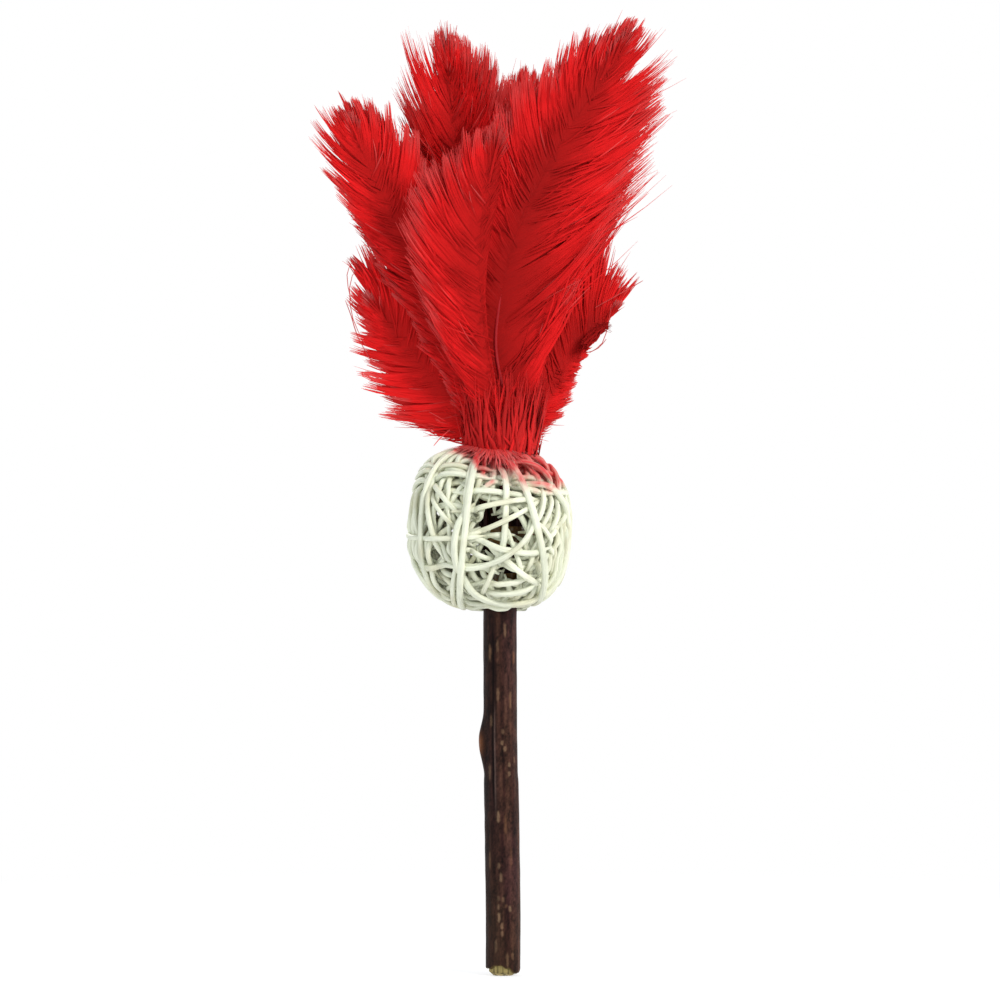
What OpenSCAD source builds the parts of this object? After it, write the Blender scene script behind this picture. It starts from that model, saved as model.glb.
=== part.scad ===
// A cat teaser wand: a length of natural branch with its bark on, pushed into a
// hollow ball wound from peeled rattan, with seven dyed feathers standing in the ball's top.
// Millimetres. The origin is the middle of the branch's cut lower end, and +Z runs up the branch.
// +X is to the right and +Y away from someone who looks at the wand's front.

/* [Stick] */
// Height of the stick's top end, which is inside the ball
stick_length = 117.5; // [114:0.5:121]
// Diameter over the bark above the grip
stick_d = 8.4; // [7:0.1:8.8]
// Diameter over the bark at the grip, below the bud scar
grip_d = 8.7; // [8:0.1:9.6]
// Height of the grip's upper end, where the branch narrows
grip_length = 48; // [42:0.5:50]
// Length over which it narrows
narrowing = 3; // [1.5:0.25:5]
// Thickness of the bark above the grip
bark_t = 0.6; // [0.4:0.05:0.9]
// Width of the worn bevel round the cut lower end
end_bevel = 1.9; // [1:0.1:2.4]
// Height of the bud scar's middle above the lower end
bud_z = 58.5; // [52:0.5:80]
// Length of the swelling at the bud scar
bud_length = 15; // [10:0.5:20]
// Height that the bud scar stands out of the bark
bud_rise = 1.25; // [0.6:0.05:1.8]
// Length of the chip in the bark at the lower end
chip_length = 1.5; // [0.8:0.1:2.5]

/* [Ball] */
// Width of the ball over its strands
ball_d = 41.6; // [40:0.2:46]
// Depth of the ball's middle below the stick's top end
ball_drop = 5.9; // [4.5:0.1:7]
// Distance that the ball sits off the stick's line, to the left
ball_shift = 3.4; // [2.8:0.1:4]
// Diameter of the rattan strand
strand_d = 1.7; // [1.3:0.05:1.8]
// Space between one layer of strands and the next
layer_gap = 0.2; // [0.15:0.05:0.4]

/* [Glue] */
// Width of the glue fillet round the stick in the ball's floor
fillet_w = 0.7; // [0.5:0.05:0.8]
// Height of the glue fillet
fillet_h = 3.4; // [2:0.1:4]
// Height of the glue band that holds the quills to the stick's top
band_h = 4.5; // [3:0.1:6]
// Wall of the glue band outside the quills
band_wall = 0.6; // [0.4:0.05:0.9]

/* [Feathers] */
// Height of the plume above the ball's top
plume_h = 107.6; // [90:1:120]
// Half of the plume's width
plume_w = 46; // [38:1:50]
// Half of the plume's depth, front to back
plume_depth = 24; // [20:0.5:28]
// Diameter of a quill at its root
quill_d = 1.3; // [1:0.05:1.4]
// Diameter of a shaft at its tip
shaft_tip_d = 0.5; // [0.35:0.05:0.7]
// Depth that the quills reach below the stick's top
quill_reach = 11; // [9:0.5:13]
// Longest barb of a large feather
barb_length = 28; // [24:0.5:30]
// Thickness of a vane beside its shaft
vane_t = 0.8; // [0.6:0.05:1]
// Thickness of a vane at its outer edge
vane_edge_t = 0.4; // [0.3:0.05:0.6]
// Half of the bundle's width where the quills leave the ball
bundle_w = 4.4; // [4:0.1:4.8]

/* [Fits] */
// Clearance between the wood and its bark, and between glue and what it holds
seat_gap = 0.08; // [0.04:0.01:0.15]
// Clearance between a shaft and its vane
vane_gap = 0.1; // [0.06:0.01:0.2]
// Overrun of every cut
over = 1; // [0.5:0.1:2]

/* [Hidden] */
$fn = 40;

// Stick
stick_r = stick_d / 2;
grip_r = grip_d / 2;
wood_r = stick_r - bark_t - seat_gap;
// The wood shows at the bevel, which runs on across the bark.
bevel_rise_share = 0.85;
bevel_rise = end_bevel * bevel_rise_share;
// The spindle that swells the bark at the bud scar, and where its line lies
bud_r = bud_rise * 2;
bud_rings = 12;
// The chip is a round scoop taken out of the bark's front.
chip_r_share = 1.6;
chip_r = chip_length * chip_r_share;
chip_turn = -110;

// Ball
ball_z = stick_length - ball_drop;
ball_centre = [-ball_shift, 0, ball_z];
strand_r = strand_d / 2;
layer_step = strand_d + layer_gap;
outer_r = ball_d / 2 - strand_r;
function layer_r(layer) = outer_r - layer * layer_step;
layers = 4;
// 2 would be a round ball, and a higher power squares its shoulders.
ball_power = 2.5;
ring_sides = 6;
rings_a_loop = 24;
// Each layer winds round its own line: its turn about Z and its lean from Z, in degrees.
layer_turn = [-20, 15, 38, 70];
layer_lean = [90, 18, 52, 90];
// Where a strand crosses its layer's line, as shares of the layer's radius, one value more than
// its turns. Each layer has two strands, and leaves a way through for the stick and the quills.
loop_shares = [
    [[-0.9, -0.64, -0.38, -0.15], [0.47, 0.6, 0.74, 0.9]],
    [[-0.64, -0.46, -0.28, -0.08], [0.1, 0.28, 0.46, 0.64]],
    [[-0.93, -0.78, -0.12, 0.02], [0.16, 0.3, 0.44, 0.6]],
    [[-0.93, -0.78, -0.62, -0.47], [0.47, 0.62, 0.78, 0.93]],
];
turns = 3;
// The angle round the layer's line at which a strand climbs to its next turn, clear of the stick,
// and the share of a turn that the climb takes
climb_at = [180, 0, 180, 0];
climb_share = 5 / 12;

// Glue: the fillet's outline, as shares of its width and height, and the band's worn corners, as a
// share of its height
fillet_shares = [[0, 0], [0.7, 0], [1, 0.2], [0.8, 0.55], [0.3, 1], [0, 1]];
band_corner_share = 0.25;

// Quills and feathers
quill_r = quill_d / 2;
shaft_tip_r = shaft_tip_d / 2;
shaft_sides = 6;
ring_r = stick_r + quill_r + 3 * seat_gap;
quill_root_z = stick_length - quill_reach;
// The bundle is narrower from side to side, by this share.
bundle_narrow_share = 0.72;
ball_top_z = ball_z + ball_d / 2;
shaft_steps = 24;
vane_steps = 24;
// The barbs lean up from the side: the down at the foot least, and those at the tip most.
foot_lean_angle = 12;
tip_lean_angle = 80;
// Stretch of the route, as a share of it, over which the barbs' own direction is taken
lean_window_share = 0.16;
vane_columns = 3;

// A vane's foot lies this far up the route from the ball's top, as a share of the route's next stretch.
foot_share = 0.08;
// The barbs' outer edge is nicked into tufts, by this share of a barb's length.
tufts = 6;
tuft_share = 0.2;

// A feather is [angle of its quill round the stick, route shares, yaw, camber share, barb lean,
// left barb shares, right barb shares].
// A route point is [across, back, up] as shares of the plume's half width, half depth and height
// above the ball. Barb shares run from the vane's foot to its tip, and follow the longest barb.
feather_table = [
    // front: short, bright, leaning forward over the middle
    [-90,
     [[-0.03, -0.36, 0.12], [-0.1, -0.54, 0.31], [-0.11, -0.7, 0.48], [-0.05, -0.86, 0.64]],
     0, 0.06, 54,
     [0.16, 0.36, 0.55, 0.6, 0.62, 0.6, 0.54, 0.42, 0.3],
     [0.16, 0.34, 0.5, 0.56, 0.58, 0.55, 0.48, 0.38, 0.28]],
    // right: the tallest, whose shaft shows all the way up the front
    [-38.6,
     [[0.01, -0.21, 0.12], [-0.03, -0.28, 0.27], [0.09, -0.32, 0.5], [0.33, -0.34, 0.71],
      [0.62, -0.34, 0.9]],
     4, 0.04, 48,
     [0.03, 0.26, 0.55, 0.7, 0.76, 0.76, 0.74, 0.7, 0.62, 0.5, 0.38],
     [0.16, 0.6, 1.05, 1.4, 1.52, 1.46, 1.3, 1.12, 0.94, 0.74, 0.5]],
    // left: leans out to the upper left
    [-141.4,
     [[-0.17, -0.1, 0.12], [-0.36, -0.1, 0.32], [-0.6, -0.11, 0.55], [-0.79, -0.12, 0.72]],
     -3, 0.04, 52,
     [0.2, 0.5, 0.68, 0.8, 0.86, 0.84, 0.76, 0.6, 0.4],
     [0.02, 0.26, 0.52, 0.65, 0.72, 0.74, 0.7, 0.6, 0.42]],
    // low_right: fluffy, short, spreading to the right
    [12.9,
     [[0.15, 0.12, 0.07], [0.3, 0.24, 0.16], [0.46, 0.34, 0.24], [0.6, 0.42, 0.31]],
     6, 0.06, 46,
     [0.06, 0.25, 0.5, 0.6, 0.58, 0.5, 0.35],
     [0.36, 0.4, 0.38, 0.42, 0.42, 0.36, 0.28]],
    // low_left: fluffy, short, spreading to the left
    [167.1,
     [[-0.16, 0.03, 0.07], [-0.34, 0.06, 0.15], [-0.51, 0.08, 0.23], [-0.66, 0.1, 0.31]],
     -6, 0.06, 44,
     [0.5, 0.74, 0.78, 0.7, 0.62, 0.5, 0.36],
     [0.06, 0.25, 0.5, 0.62, 0.6, 0.5, 0.35]],
    // centre: upright at the back
    [64.3,
     [[0.06, 0.45, 0.13], [0.11, 0.64, 0.34], [0.11, 0.8, 0.58], [0.14, 0.95, 0.8]],
     4, 0.06, 54,
     [0.02, 0.22, 0.56, 0.7, 0.74, 0.7, 0.6, 0.48, 0.32],
     [0.2, 0.48, 0.66, 0.76, 0.8, 0.74, 0.62, 0.48, 0.32]],
    // mid_left: tall, blunt, left of the middle
    [115.7,
     [[-0.08, 0.24, 0.13], [-0.15, 0.35, 0.37], [-0.22, 0.42, 0.62], [-0.28, 0.46, 0.86]],
     -3, 0.04, 56,
     [0.2, 0.45, 0.62, 0.74, 0.84, 0.88, 0.86, 0.74, 0.52],
     [0.01, 0.2, 0.56, 0.74, 0.84, 0.92, 0.92, 0.82, 0.55]],
];

// Smooth curve through points: p[0] and the last point are met, and u runs from 0 to 1
function curve(p, u) =
    let (n = len(p) - 1,
         s = min(max(u, 0), 1) * n,
         i = min(floor(s), n - 1),
         f = s - i,
         b = p[i],
         c = p[i + 1],
         a = i > 0 ? p[i - 1] : 2 * b - c,
         d = i + 2 <= n ? p[i + 2] : 2 * c - b)
    (2 * b + (c - a) * f + (2 * a - 5 * b + 4 * c - d) * pow(f, 2)
     + (3 * b - a - 3 * c + d) * pow(f, 3)) / 2;

// A value read along a list, evenly spaced from its first to its last entry
function along(list, u) =
    let (s = min(max(u, 0), 1) * (len(list) - 1),
         i = min(floor(s), len(list) - 2))
    list[i] + (list[i + 1] - list[i]) * (s - i);

function unit(v) = v / norm(v);
function smooth(s) = s * s * (3 - 2 * s);

// Faces of a tube of rings, each with the same number of points, closed at both ends
function tube_faces(rings, sides) = concat(
    [for (i = [0 : rings - 2], j = [0 : sides - 1], half = [0, 1])
        let (a = i * sides + j,
             b = i * sides + (j + 1) % sides,
             c = b + sides,
             d = a + sides)
        half == 0 ? [a, c, b] : [a, d, c]],
    [for (j = [1 : sides - 2]) [0, j, j + 1]],
    [for (j = [1 : sides - 2])
        let (last = (rings - 1) * sides)
        [last, last + j + 1, last + j]]
);

// The rattan ball

// Squares a direction's length towards the ball's shoulders
function squared(v) =
    v * pow(pow(abs(v[0]), ball_power) + pow(abs(v[1]), ball_power) + pow(abs(v[2]), ball_power),
            -1 / ball_power);

// A layer's own frame: its line, and two directions across it
function layer_line(layer) =
    [sin(layer_lean[layer]) * cos(layer_turn[layer]),
     sin(layer_lean[layer]) * sin(layer_turn[layer]),
     cos(layer_lean[layer])];
function layer_across(layer) = [-sin(layer_turn[layer]), cos(layer_turn[layer]), 0];

// A point of a strand, so many degrees along it: each turn climbs in its middle
function strand_point(layer, shares, degrees) =
    let (turn = min(floor(degrees / 360), turns - 1),
         climbed = smooth(min(max((degrees / 360 - turn - 0.5) / climb_share + 0.5, 0), 1)),
         share = shares[turn] + (shares[turn + 1] - shares[turn]) * climbed,
         angle = degrees + climb_at[layer] + 180,
         line = layer_line(layer),
         across = layer_across(layer),
         rise = cross(line, across),
         direction = line * share
                     + (across * cos(angle) + rise * sin(angle)) * sqrt(1 - share * share))
    ball_centre + layer_r(layer) * squared(direction);

function strand_points(index) =
    let (layer = floor(index / 2),
         shares = loop_shares[layer][index % 2])
    [for (i = [0 : turns * rings_a_loop - 1]) strand_point(layer, shares, i * 360 / rings_a_loop)];

// Least space between one loop of a strand and another, on its points
function own_gap(points) =
    min([for (i = [0 : len(points) - 1], j = [i + rings_a_loop / 4 : 1 : len(points) - 1])
        norm(points[i] - points[j])]) - strand_d;

module strand(index) {
    p = strand_points(index);
    last = len(p) - 1;
    echo(str("ball_strand_", index + 1, ": least gap to itself in mm"), own_gap(p));
    rings = [for (i = [0 : last])
        let (t = unit(p[min(i + 1, last)] - p[max(i - 1, 0)]),
             out = unit(p[i] - ball_centre),
             side = unit(cross(t, out)),
             up = cross(t, side))
        for (k = [0 : ring_sides - 1])
            p[i] + strand_r * (side * cos(k * 360 / ring_sides) + up * sin(k * 360 / ring_sides))];
    color("ivory") polyhedron(rings, tube_faces(len(p), ring_sides), convexity = 10);
}

// The stick

// Height of the worn bevel at a distance from the branch's line
function bevel_z(r) = bevel_rise * max(r - grip_r + end_bevel, 0) / end_bevel;

module stick_wood() {
    color("burlywood")
        rotate_extrude()
            polygon([[0, 0],
                     [grip_r - end_bevel, 0],
                     [wood_r, bevel_z(wood_r)],
                     [wood_r, stick_length],
                     [0, stick_length]]);
}

module bark_sleeve() {
    inner_r = stick_r - bark_t;
    rotate_extrude()
        polygon([[inner_r, bevel_z(inner_r)],
                 [grip_r, bevel_rise],
                 [grip_r, grip_length],
                 [stick_r, grip_length + narrowing],
                 [stick_r, stick_length],
                 [inner_r, stick_length]]);
}

module bud_spindle() {
    translate([bud_r - stick_r - bud_rise, 0, bud_z - bud_length / 2])
        rotate_extrude()
            polygon(concat([[0, 0]],
                           [for (i = [1 : bud_rings - 1])
                               [bud_r * pow(sin(180 * i / bud_rings), 2), bud_length * i / bud_rings]],
                           [[0, bud_length]]));
}

module stick_bark() {
    color([0.22, 0.14, 0.14])
        difference() {
            union() {
                bark_sleeve();
                bud_spindle();
            }
            translate([0, 0, bud_z - bud_length])
                cylinder(h = bud_length * 2, r = stick_r - bark_t);
            rotate([0, 0, chip_turn])
                translate([grip_r, 0, bevel_rise - chip_r + chip_length])
                    sphere(r = chip_r);
        }
}

// The glue

module glue_fillet() {
    floor_z = ball_z - layer_r(layers - 1);
    inner_r = stick_r + seat_gap;
    color([0.85, 0.8, 0.68])
        translate([0, 0, floor_z])
            rotate_extrude()
                polygon([for (s = fillet_shares) [inner_r + s[0] * fillet_w, s[1] * fillet_h]]);
}

module glue_band() {
    outer = ring_r + quill_r + seat_gap + band_wall;
    band_z = quill_root_z + seat_gap + quill_d;
    color([0.85, 0.8, 0.68])
        difference() {
            translate([0, 0, band_z])
                rotate_extrude()
                    polygon([[stick_r + seat_gap, 0],
                             [outer - band_wall / 2, 0],
                             [outer, band_h * band_corner_share],
                             [outer, band_h * (1 - band_corner_share)],
                             [outer - band_wall / 2, band_h],
                             [stick_r + seat_gap, band_h]]);
            for (f = feather_table)
                rotate([0, 0, f[0]])
                    translate([ring_r, 0, band_z - over])
                        cylinder(h = band_h + 2 * over, r = quill_r + seat_gap);
        }
}

// The feathers

function quill_at(f) = [ring_r * cos(f[0]), ring_r * sin(f[0]), 0];
// Where a quill passes the ball's top, in a bundle drawn in a little from the ring
function bundle_at(f) = [bundle_w * cos(f[0]) * bundle_narrow_share, bundle_w * sin(f[0]), 0];

// The route's points: up from the stick's top, through the ball's top and along the feather
function route(f) = concat(
    [quill_at(f) + [0, 0, stick_length],
     bundle_at(f) + [0, 0, ball_top_z]],
    [for (s = f[1]) [s[0] * plume_w, s[1] * plume_depth, ball_top_z + s[2] * plume_h]]
);

function shaft_point(f, u) = curve(route(f), u);
function shaft_way(f, u) =
    unit(shaft_point(f, min(u + 0.01, 1)) - shaft_point(f, max(u - 0.01, 0)));
function route_way(f, u) =
    unit(shaft_point(f, min(u + lean_window_share, 1)) - shaft_point(f, max(u - lean_window_share, 0)));
function shaft_r(u) = quill_r + (shaft_tip_r - quill_r) * u;
// The direction that the feather's face looks in
function face_way(f) = [sin(f[2]), -cos(f[2]), 0];
function side_way(f, u) = unit(cross(shaft_way(f, u), face_way(f)));

module shaft(f) {
    straight = [for (z = [quill_root_z, stick_length]) quill_at(f) + [0, 0, z]];
    bent = [for (i = [1 : shaft_steps]) shaft_point(f, i / shaft_steps)];
    p = concat(straight, bent);
    last = len(p) - 1;
    points = [for (i = [0 : last])
        let (t = i < 2 ? [0, 0, 1] : shaft_way(f, (i - 1) / shaft_steps),
             side = unit(cross(t, face_way(f))),
             up = cross(t, side),
             r = i < 2 ? quill_r : shaft_r((i - 1) / shaft_steps))
        for (k = [0 : shaft_sides - 1])
            p[i] + r * (side * cos(k * 360 / shaft_sides) + up * sin(k * 360 / shaft_sides))];
    color([0.45, 0.06, 0.06]) polyhedron(points, tube_faces(len(p), shaft_sides), convexity = 10);
}

// One web of barbs: hand is 1 on the right and -1 on the left
module web(f, hand, shares) {
    camber = f[3];
    start = (1 + foot_share) / (len(f[1]) + 1);
    rows = [for (i = [0 : vane_steps])
        let (v = i / vane_steps,
             u = start + (1 - start) * v,
             c = shaft_point(f, u),
             t = shaft_way(f, u),
             s = side_way(f, u) * hand,
             n = unit(cross(side_way(f, u), t)),
             way = route_way(f, u),
             lean = f[4] + (tip_lean_angle - f[4]) * pow(v, 3)
                    - (f[4] - foot_lean_angle) * pow(1 - v, 8),
             barb = barb_length * along(shares, v) * (1 - tuft_share * (v * tufts % 1)),
             root = shaft_r(u) + vane_gap)
        [for (j = [0 : vane_columns])
            let (q = j / vane_columns,
                 reach = barb * q,
                 middle = c + s * root
                          + (unit(cross(way, face_way(f))) * hand * cos(lean) + way * sin(lean)) * reach
                          - n * camber * reach * q,
                 half = (vane_t + (vane_edge_t - vane_t) * q) / 2)
            [middle + n * half, middle - n * half]]];
    columns = vane_columns + 1;
    loop = 2 * columns;
    // Each row is a closed loop: out along the face and back along the reverse
    points = [for (row = rows) concat([for (j = [0 : vane_columns]) row[j][0]],
                                      [for (j = [vane_columns : -1 : 0]) row[j][1]])];
    flat = [for (row = points) each row];
    sides = tube_faces(len(rows), loop);
    facing = hand > 0 ? sides : [for (face = sides) [face[2], face[1], face[0]]];
    polyhedron(flat, facing, convexity = 10);
}

module vane(f) {
    color([0.78, 0.07, 0.08]) {
        web(f, -1, f[5]);
        web(f, 1, f[6]);
    }
}

stick_wood();
stick_bark();
glue_fillet();
glue_band();
strand(0);  // ball_strand_1
strand(1);  // ball_strand_2
strand(2);  // ball_strand_3
strand(3);  // ball_strand_4
strand(4);  // ball_strand_5
strand(5);  // ball_strand_6
strand(6);  // ball_strand_7
strand(7);  // ball_strand_8
shaft(feather_table[0]);  // feather_front_shaft
vane(feather_table[0]);  // feather_front_vane
shaft(feather_table[1]);  // feather_right_shaft
vane(feather_table[1]);  // feather_right_vane
shaft(feather_table[2]);  // feather_left_shaft
vane(feather_table[2]);  // feather_left_vane
shaft(feather_table[3]);  // feather_low_right_shaft
vane(feather_table[3]);  // feather_low_right_vane
shaft(feather_table[4]);  // feather_low_left_shaft
vane(feather_table[4]);  // feather_low_left_vane
shaft(feather_table[5]);  // feather_centre_shaft
vane(feather_table[5]);  // feather_centre_vane
shaft(feather_table[6]);  // feather_mid_left_shaft
vane(feather_table[6]);  // feather_mid_left_vane
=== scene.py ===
"""A cat teaser wand: a branch with its bark on, a ball wound from rattan, and seven red feathers.

All shapes are worked out in millimetres in the part's own frame, and turned into metres by build().
"""

import math

import bpy
import numpy as np
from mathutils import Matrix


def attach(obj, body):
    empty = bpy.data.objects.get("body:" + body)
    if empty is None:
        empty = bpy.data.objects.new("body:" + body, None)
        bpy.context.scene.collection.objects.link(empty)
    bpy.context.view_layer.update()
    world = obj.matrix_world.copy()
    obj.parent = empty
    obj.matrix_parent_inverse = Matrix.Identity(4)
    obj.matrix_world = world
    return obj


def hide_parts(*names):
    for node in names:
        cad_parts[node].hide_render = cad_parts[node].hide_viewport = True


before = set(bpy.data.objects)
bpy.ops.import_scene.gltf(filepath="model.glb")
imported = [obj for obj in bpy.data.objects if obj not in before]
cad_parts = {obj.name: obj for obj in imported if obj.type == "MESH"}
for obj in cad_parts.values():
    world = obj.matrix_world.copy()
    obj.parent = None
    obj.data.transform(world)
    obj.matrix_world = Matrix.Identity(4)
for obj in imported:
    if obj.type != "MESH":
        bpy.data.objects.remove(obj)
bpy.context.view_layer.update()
MM = 0.001

# Sizes in mm, as in the part's source
STICK_LENGTH = 117.5
STICK_R = 4.2
GRIP_R = 4.35
GRIP_LENGTH = 48.0
NARROWING = 3.0
END_BEVEL = 1.9
BEVEL_RISE = 1.615
BUD_Z = 58.5
BALL = np.array([-3.4, 0.0, 111.6])
BALL_D = 41.6
STRAND_D = 1.7
BALL_POWER = 2.5
BALL_TOP = BALL[2] + BALL_D / 2
PLUME_H = 107.6
PLUME_W = 46.0
PLUME_DEPTH = 24.0
QUILL_R = 0.65
TIP_R = 0.25
QUILL_ROOT_Z = STICK_LENGTH - 11.0
RING_R = STICK_R + QUILL_R + 0.24
BUNDLE_W = 4.4
BARB_LENGTH = 28.0
# The photograph's scale in mm a pixel, and where the middle of the wand's lower end is in it
PX = 0.2505
PX_X = 501.5
PX_Z = 975.0


# Node trees

class Nodes:
    """The node tree of a material or the world, with short calls for the nodes used here."""

    def __init__(self, owner):
        owner.use_nodes = True
        self.owner = owner
        self.nodes = owner.node_tree.nodes
        self.links = owner.node_tree.links

    def put(self, socket, value):
        if isinstance(value, bpy.types.NodeSocket):
            self.links.new(value, socket)
        elif socket.type == "RGBA":
            socket.default_value = (*map(float, value), 1.0)
        else:
            socket.default_value = value

    def add(self, kind, *values, named=None, out=0, **settings):
        """A new node's output. The values go to its first sockets, and the named ones to theirs."""
        node = self.nodes.new("ShaderNode" + kind)
        for key, value in settings.items():
            setattr(node, key, value)
        for key, value in [*enumerate(values), *(named or {}).items()]:
            self.put(node.inputs[key], value)
        return node.outputs[out] if len(node.outputs) else None

    def math(self, kind, a, b):
        return self.add("Math", a, b, operation=kind)

    def shown_rays(self):
        """1 for rays that show the backdrop as it is: from the camera, a mirror or glass."""
        rays = self.nodes.new("ShaderNodeLightPath").outputs
        seen = self.math("MAXIMUM", rays["Is Camera Ray"], rays["Is Glossy Ray"])
        return self.math("MAXIMUM", seen, rays["Is Transmission Ray"])

    def noise(self, place, scale, detail, rough):
        sockets = {"Vector": place, "Scale": scale, "Detail": detail, "Roughness": rough}
        return self.add("TexNoise", named=sockets)

    def place(self):
        return self.add("TexCoord", out="Object")

    def patches(self, scale, detail):
        return self.noise(self.place(), scale, detail, 0.5)

    def grain(self, across, length, detail, rough):
        """Noise stretched along a piece, in cells across it and along it."""
        place = self.add("UVMap", uv_map="Length")
        place = self.add("Mapping", place, named={"Scale": (across, length, 1)})
        return self.noise(place, 1.0, detail, rough)

    def span(self, value, low, high, start=0.3, end=0.7):
        return self.add("MapRange", value, start, end, low, high)

    def mix(self, share, a, b, kind="MIX"):
        return self.add("Mix", share, named={6: a, 7: b}, out=2, data_type="RGBA", blend_type=kind)

    def bump(self, height, strength, distance):
        return self.add("Bump", named={"Height": height, "Strength": strength, "Distance": distance})

    def surface(self, **sockets):
        for key, value in sockets.items():
            self.put(self.nodes["Principled BSDF"].inputs[key.replace("_", " ")], value)
        return self.owner


def material_nodes(name):
    return Nodes(bpy.data.materials.new(name))


# Camera, lights and floor

def px(x, y):
    """A place in the photograph's frame as x and z in mm, on the wand's own plane."""
    return (x - PX_X) * PX, (PX_Z - y) * PX


def new_object(name, data):
    thing = bpy.data.objects.new(name, data)
    bpy.context.scene.collection.objects.link(thing)
    return thing


def set_camera():
    distance = 1.2
    x, z = px(500, 500)
    data = bpy.data.cameras.new("camera")
    data.lens = data.sensor_width * distance / (1000 * PX * MM)
    data.clip_start = 0.05
    data.clip_end = 60.0
    camera = new_object("camera", data)
    camera.location = (x * MM, -distance, z * MM)
    camera.rotation_euler = (math.radians(90), 0, 0)
    bpy.context.scene.camera = camera


def add_lamp(name, place, height, size, power, colour):
    """A round lamp that faces a height on the wand's middle line."""
    data = bpy.data.lights.new(name, "AREA")
    data.shape = "DISK"
    data.size = size
    data.energy = power
    data.color = colour
    lamp = new_object(name, data)
    lamp.location = place
    x, y, z = np.array([0, 0, height]) - place
    lamp.rotation_euler = (math.atan2(math.hypot(x, y), -z), 0, math.atan2(y, x) - math.pi / 2)


def set_world():
    n = Nodes(bpy.data.worlds.new("studio"))
    n.nodes.clear()
    soft = n.add("Background", (0.93, 0.97, 1.0), 0.62)
    white = n.add("Background", (1, 1, 1), 1.0)
    n.add("OutputWorld", n.add("MixShader", n.shown_rays(), soft, white))
    bpy.context.scene.world = n.owner


def add_floor():
    """A pale floor that shows a soft shadow near the wand and is white beyond it."""
    s = 6.0
    mesh = bpy.data.meshes.new("floor")
    mesh.from_pydata([(-s, -s, 0), (s, -s, 0), (s, s, 0), (-s, s, 0)], [], [(0, 1, 2, 3)])
    n = material_nodes("floor")
    n.nodes.clear()
    pale = n.add("BsdfDiffuse", (0.84, 0.84, 0.84))
    shadow = n.add("BsdfDiffuse", (0.42, 0.42, 0.43))
    near = n.add("AddShader", shadow, n.add("Emission", (1, 1, 1), 0.62))
    far = n.add("VectorMath", n.add("NewGeometry", out="Position"), out="Value", operation="LENGTH")
    fade = n.add("MapRange", far, 0.1, 0.34, interpolation_type="SMOOTHSTEP")
    shown = n.add("MixShader", fade, near, n.add("Emission", (1, 1, 1)))
    n.add("OutputMaterial", n.add("MixShader", n.shown_rays(), pale, shown))
    mesh.materials.append(n.owner)
    new_object("floor", mesh)


set_camera()
set_world()
add_floor()
add_lamp("key", (0.8, -0.85, 0.75), 0.13, 0.45, 11.3, (1.0, 0.97, 0.91))
add_lamp("fill", (-0.9, -0.9, 0.35), 0.12, 0.7, 3.6, (0.92, 0.97, 1.0))
add_lamp("rim", (-0.35, 0.9, 0.7), 0.14, 0.6, 6.0, (1.0, 0.98, 0.95))
add_lamp("side", (1.0, 0.45, 0.4), 0.13, 0.8, 3.0, (1.0, 0.99, 0.97))
bpy.context.scene.view_settings.view_transform = "Standard"


# Small mathematics

def unit(v):
    return v / np.maximum(np.linalg.norm(v, axis=-1, keepdims=True), 1e-12)


def smooth(s):
    s = np.clip(s, 0.0, 1.0)
    return s * s * (3 - 2 * s)


def bell(x, width, power=2):
    """1 where x is 0, and nearly 0 beyond the width."""
    return np.exp(-(x / width) ** power)


def turns(sides):
    return np.arange(sides) / sides * 2 * np.pi


def srgb(r, g, b):
    """A colour read as 0 to 255, in the renderer's linear values."""
    c = np.array([r, g, b], float) / 255.0
    return np.where(c <= 0.04045, c / 12.92, ((c + 0.055) / 1.055) ** 2.4)


def blend(a, b, share):
    """Colours from a to b, with one share a place."""
    return a + (b - a) * np.asarray(share)[..., None]


def noise(x, y, seed, wrap=64):
    """Smooth random values between -1 and 1 over a plane that repeats every `wrap` cells."""
    grid = np.random.default_rng(seed).random((wrap, wrap)) * 2 - 1
    i = np.floor(x).astype(int)
    j = np.floor(y).astype(int)
    fx = smooth(x - i)
    fy = smooth(y - j)
    a, b, c, d = (grid[(i + m) % wrap, (j + n) % wrap] for n in (0, 1) for m in (0, 1))
    return (a * (1 - fx) + b * fx) * (1 - fy) + (c * (1 - fx) + d * fx) * fy


def round_noise(turn, y, seed, cells):
    """Noise that closes on itself in a turn, with so many cells round."""
    return noise(turn / (2 * np.pi) * cells, y, seed, cells)


def curve(points, u):
    """The smooth curve of the part's source: its first and last points are met."""
    p = np.asarray(points, float)
    n = len(p) - 1
    s = np.clip(u, 0, 1) * n
    i = np.minimum(np.floor(s).astype(int), n - 1)
    f = (s - i)[..., None]
    full = np.concatenate([[2 * p[0] - p[1]], p, [2 * p[-1] - p[-2]]])
    a, b, c, d = full[i], full[i + 1], full[i + 2], full[i + 3]
    return (2 * b + (c - a) * f + (2 * a - 5 * b + 4 * c - d) * f ** 2
            + (3 * b - a - 3 * c + d) * f ** 3) / 2


def run_lengths(line):
    """How far along a line each of its points is."""
    return np.concatenate([[0], np.cumsum(np.linalg.norm(np.diff(line, axis=0), axis=1))])


def to_end(n):
    """How many places each of n is from the nearer end."""
    return np.minimum(np.arange(n), np.arange(n)[::-1])


# Meshes

def fill(items, key, values, kind=np.float32):
    items.foreach_set(key, np.asarray(values).astype(kind).ravel())


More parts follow.
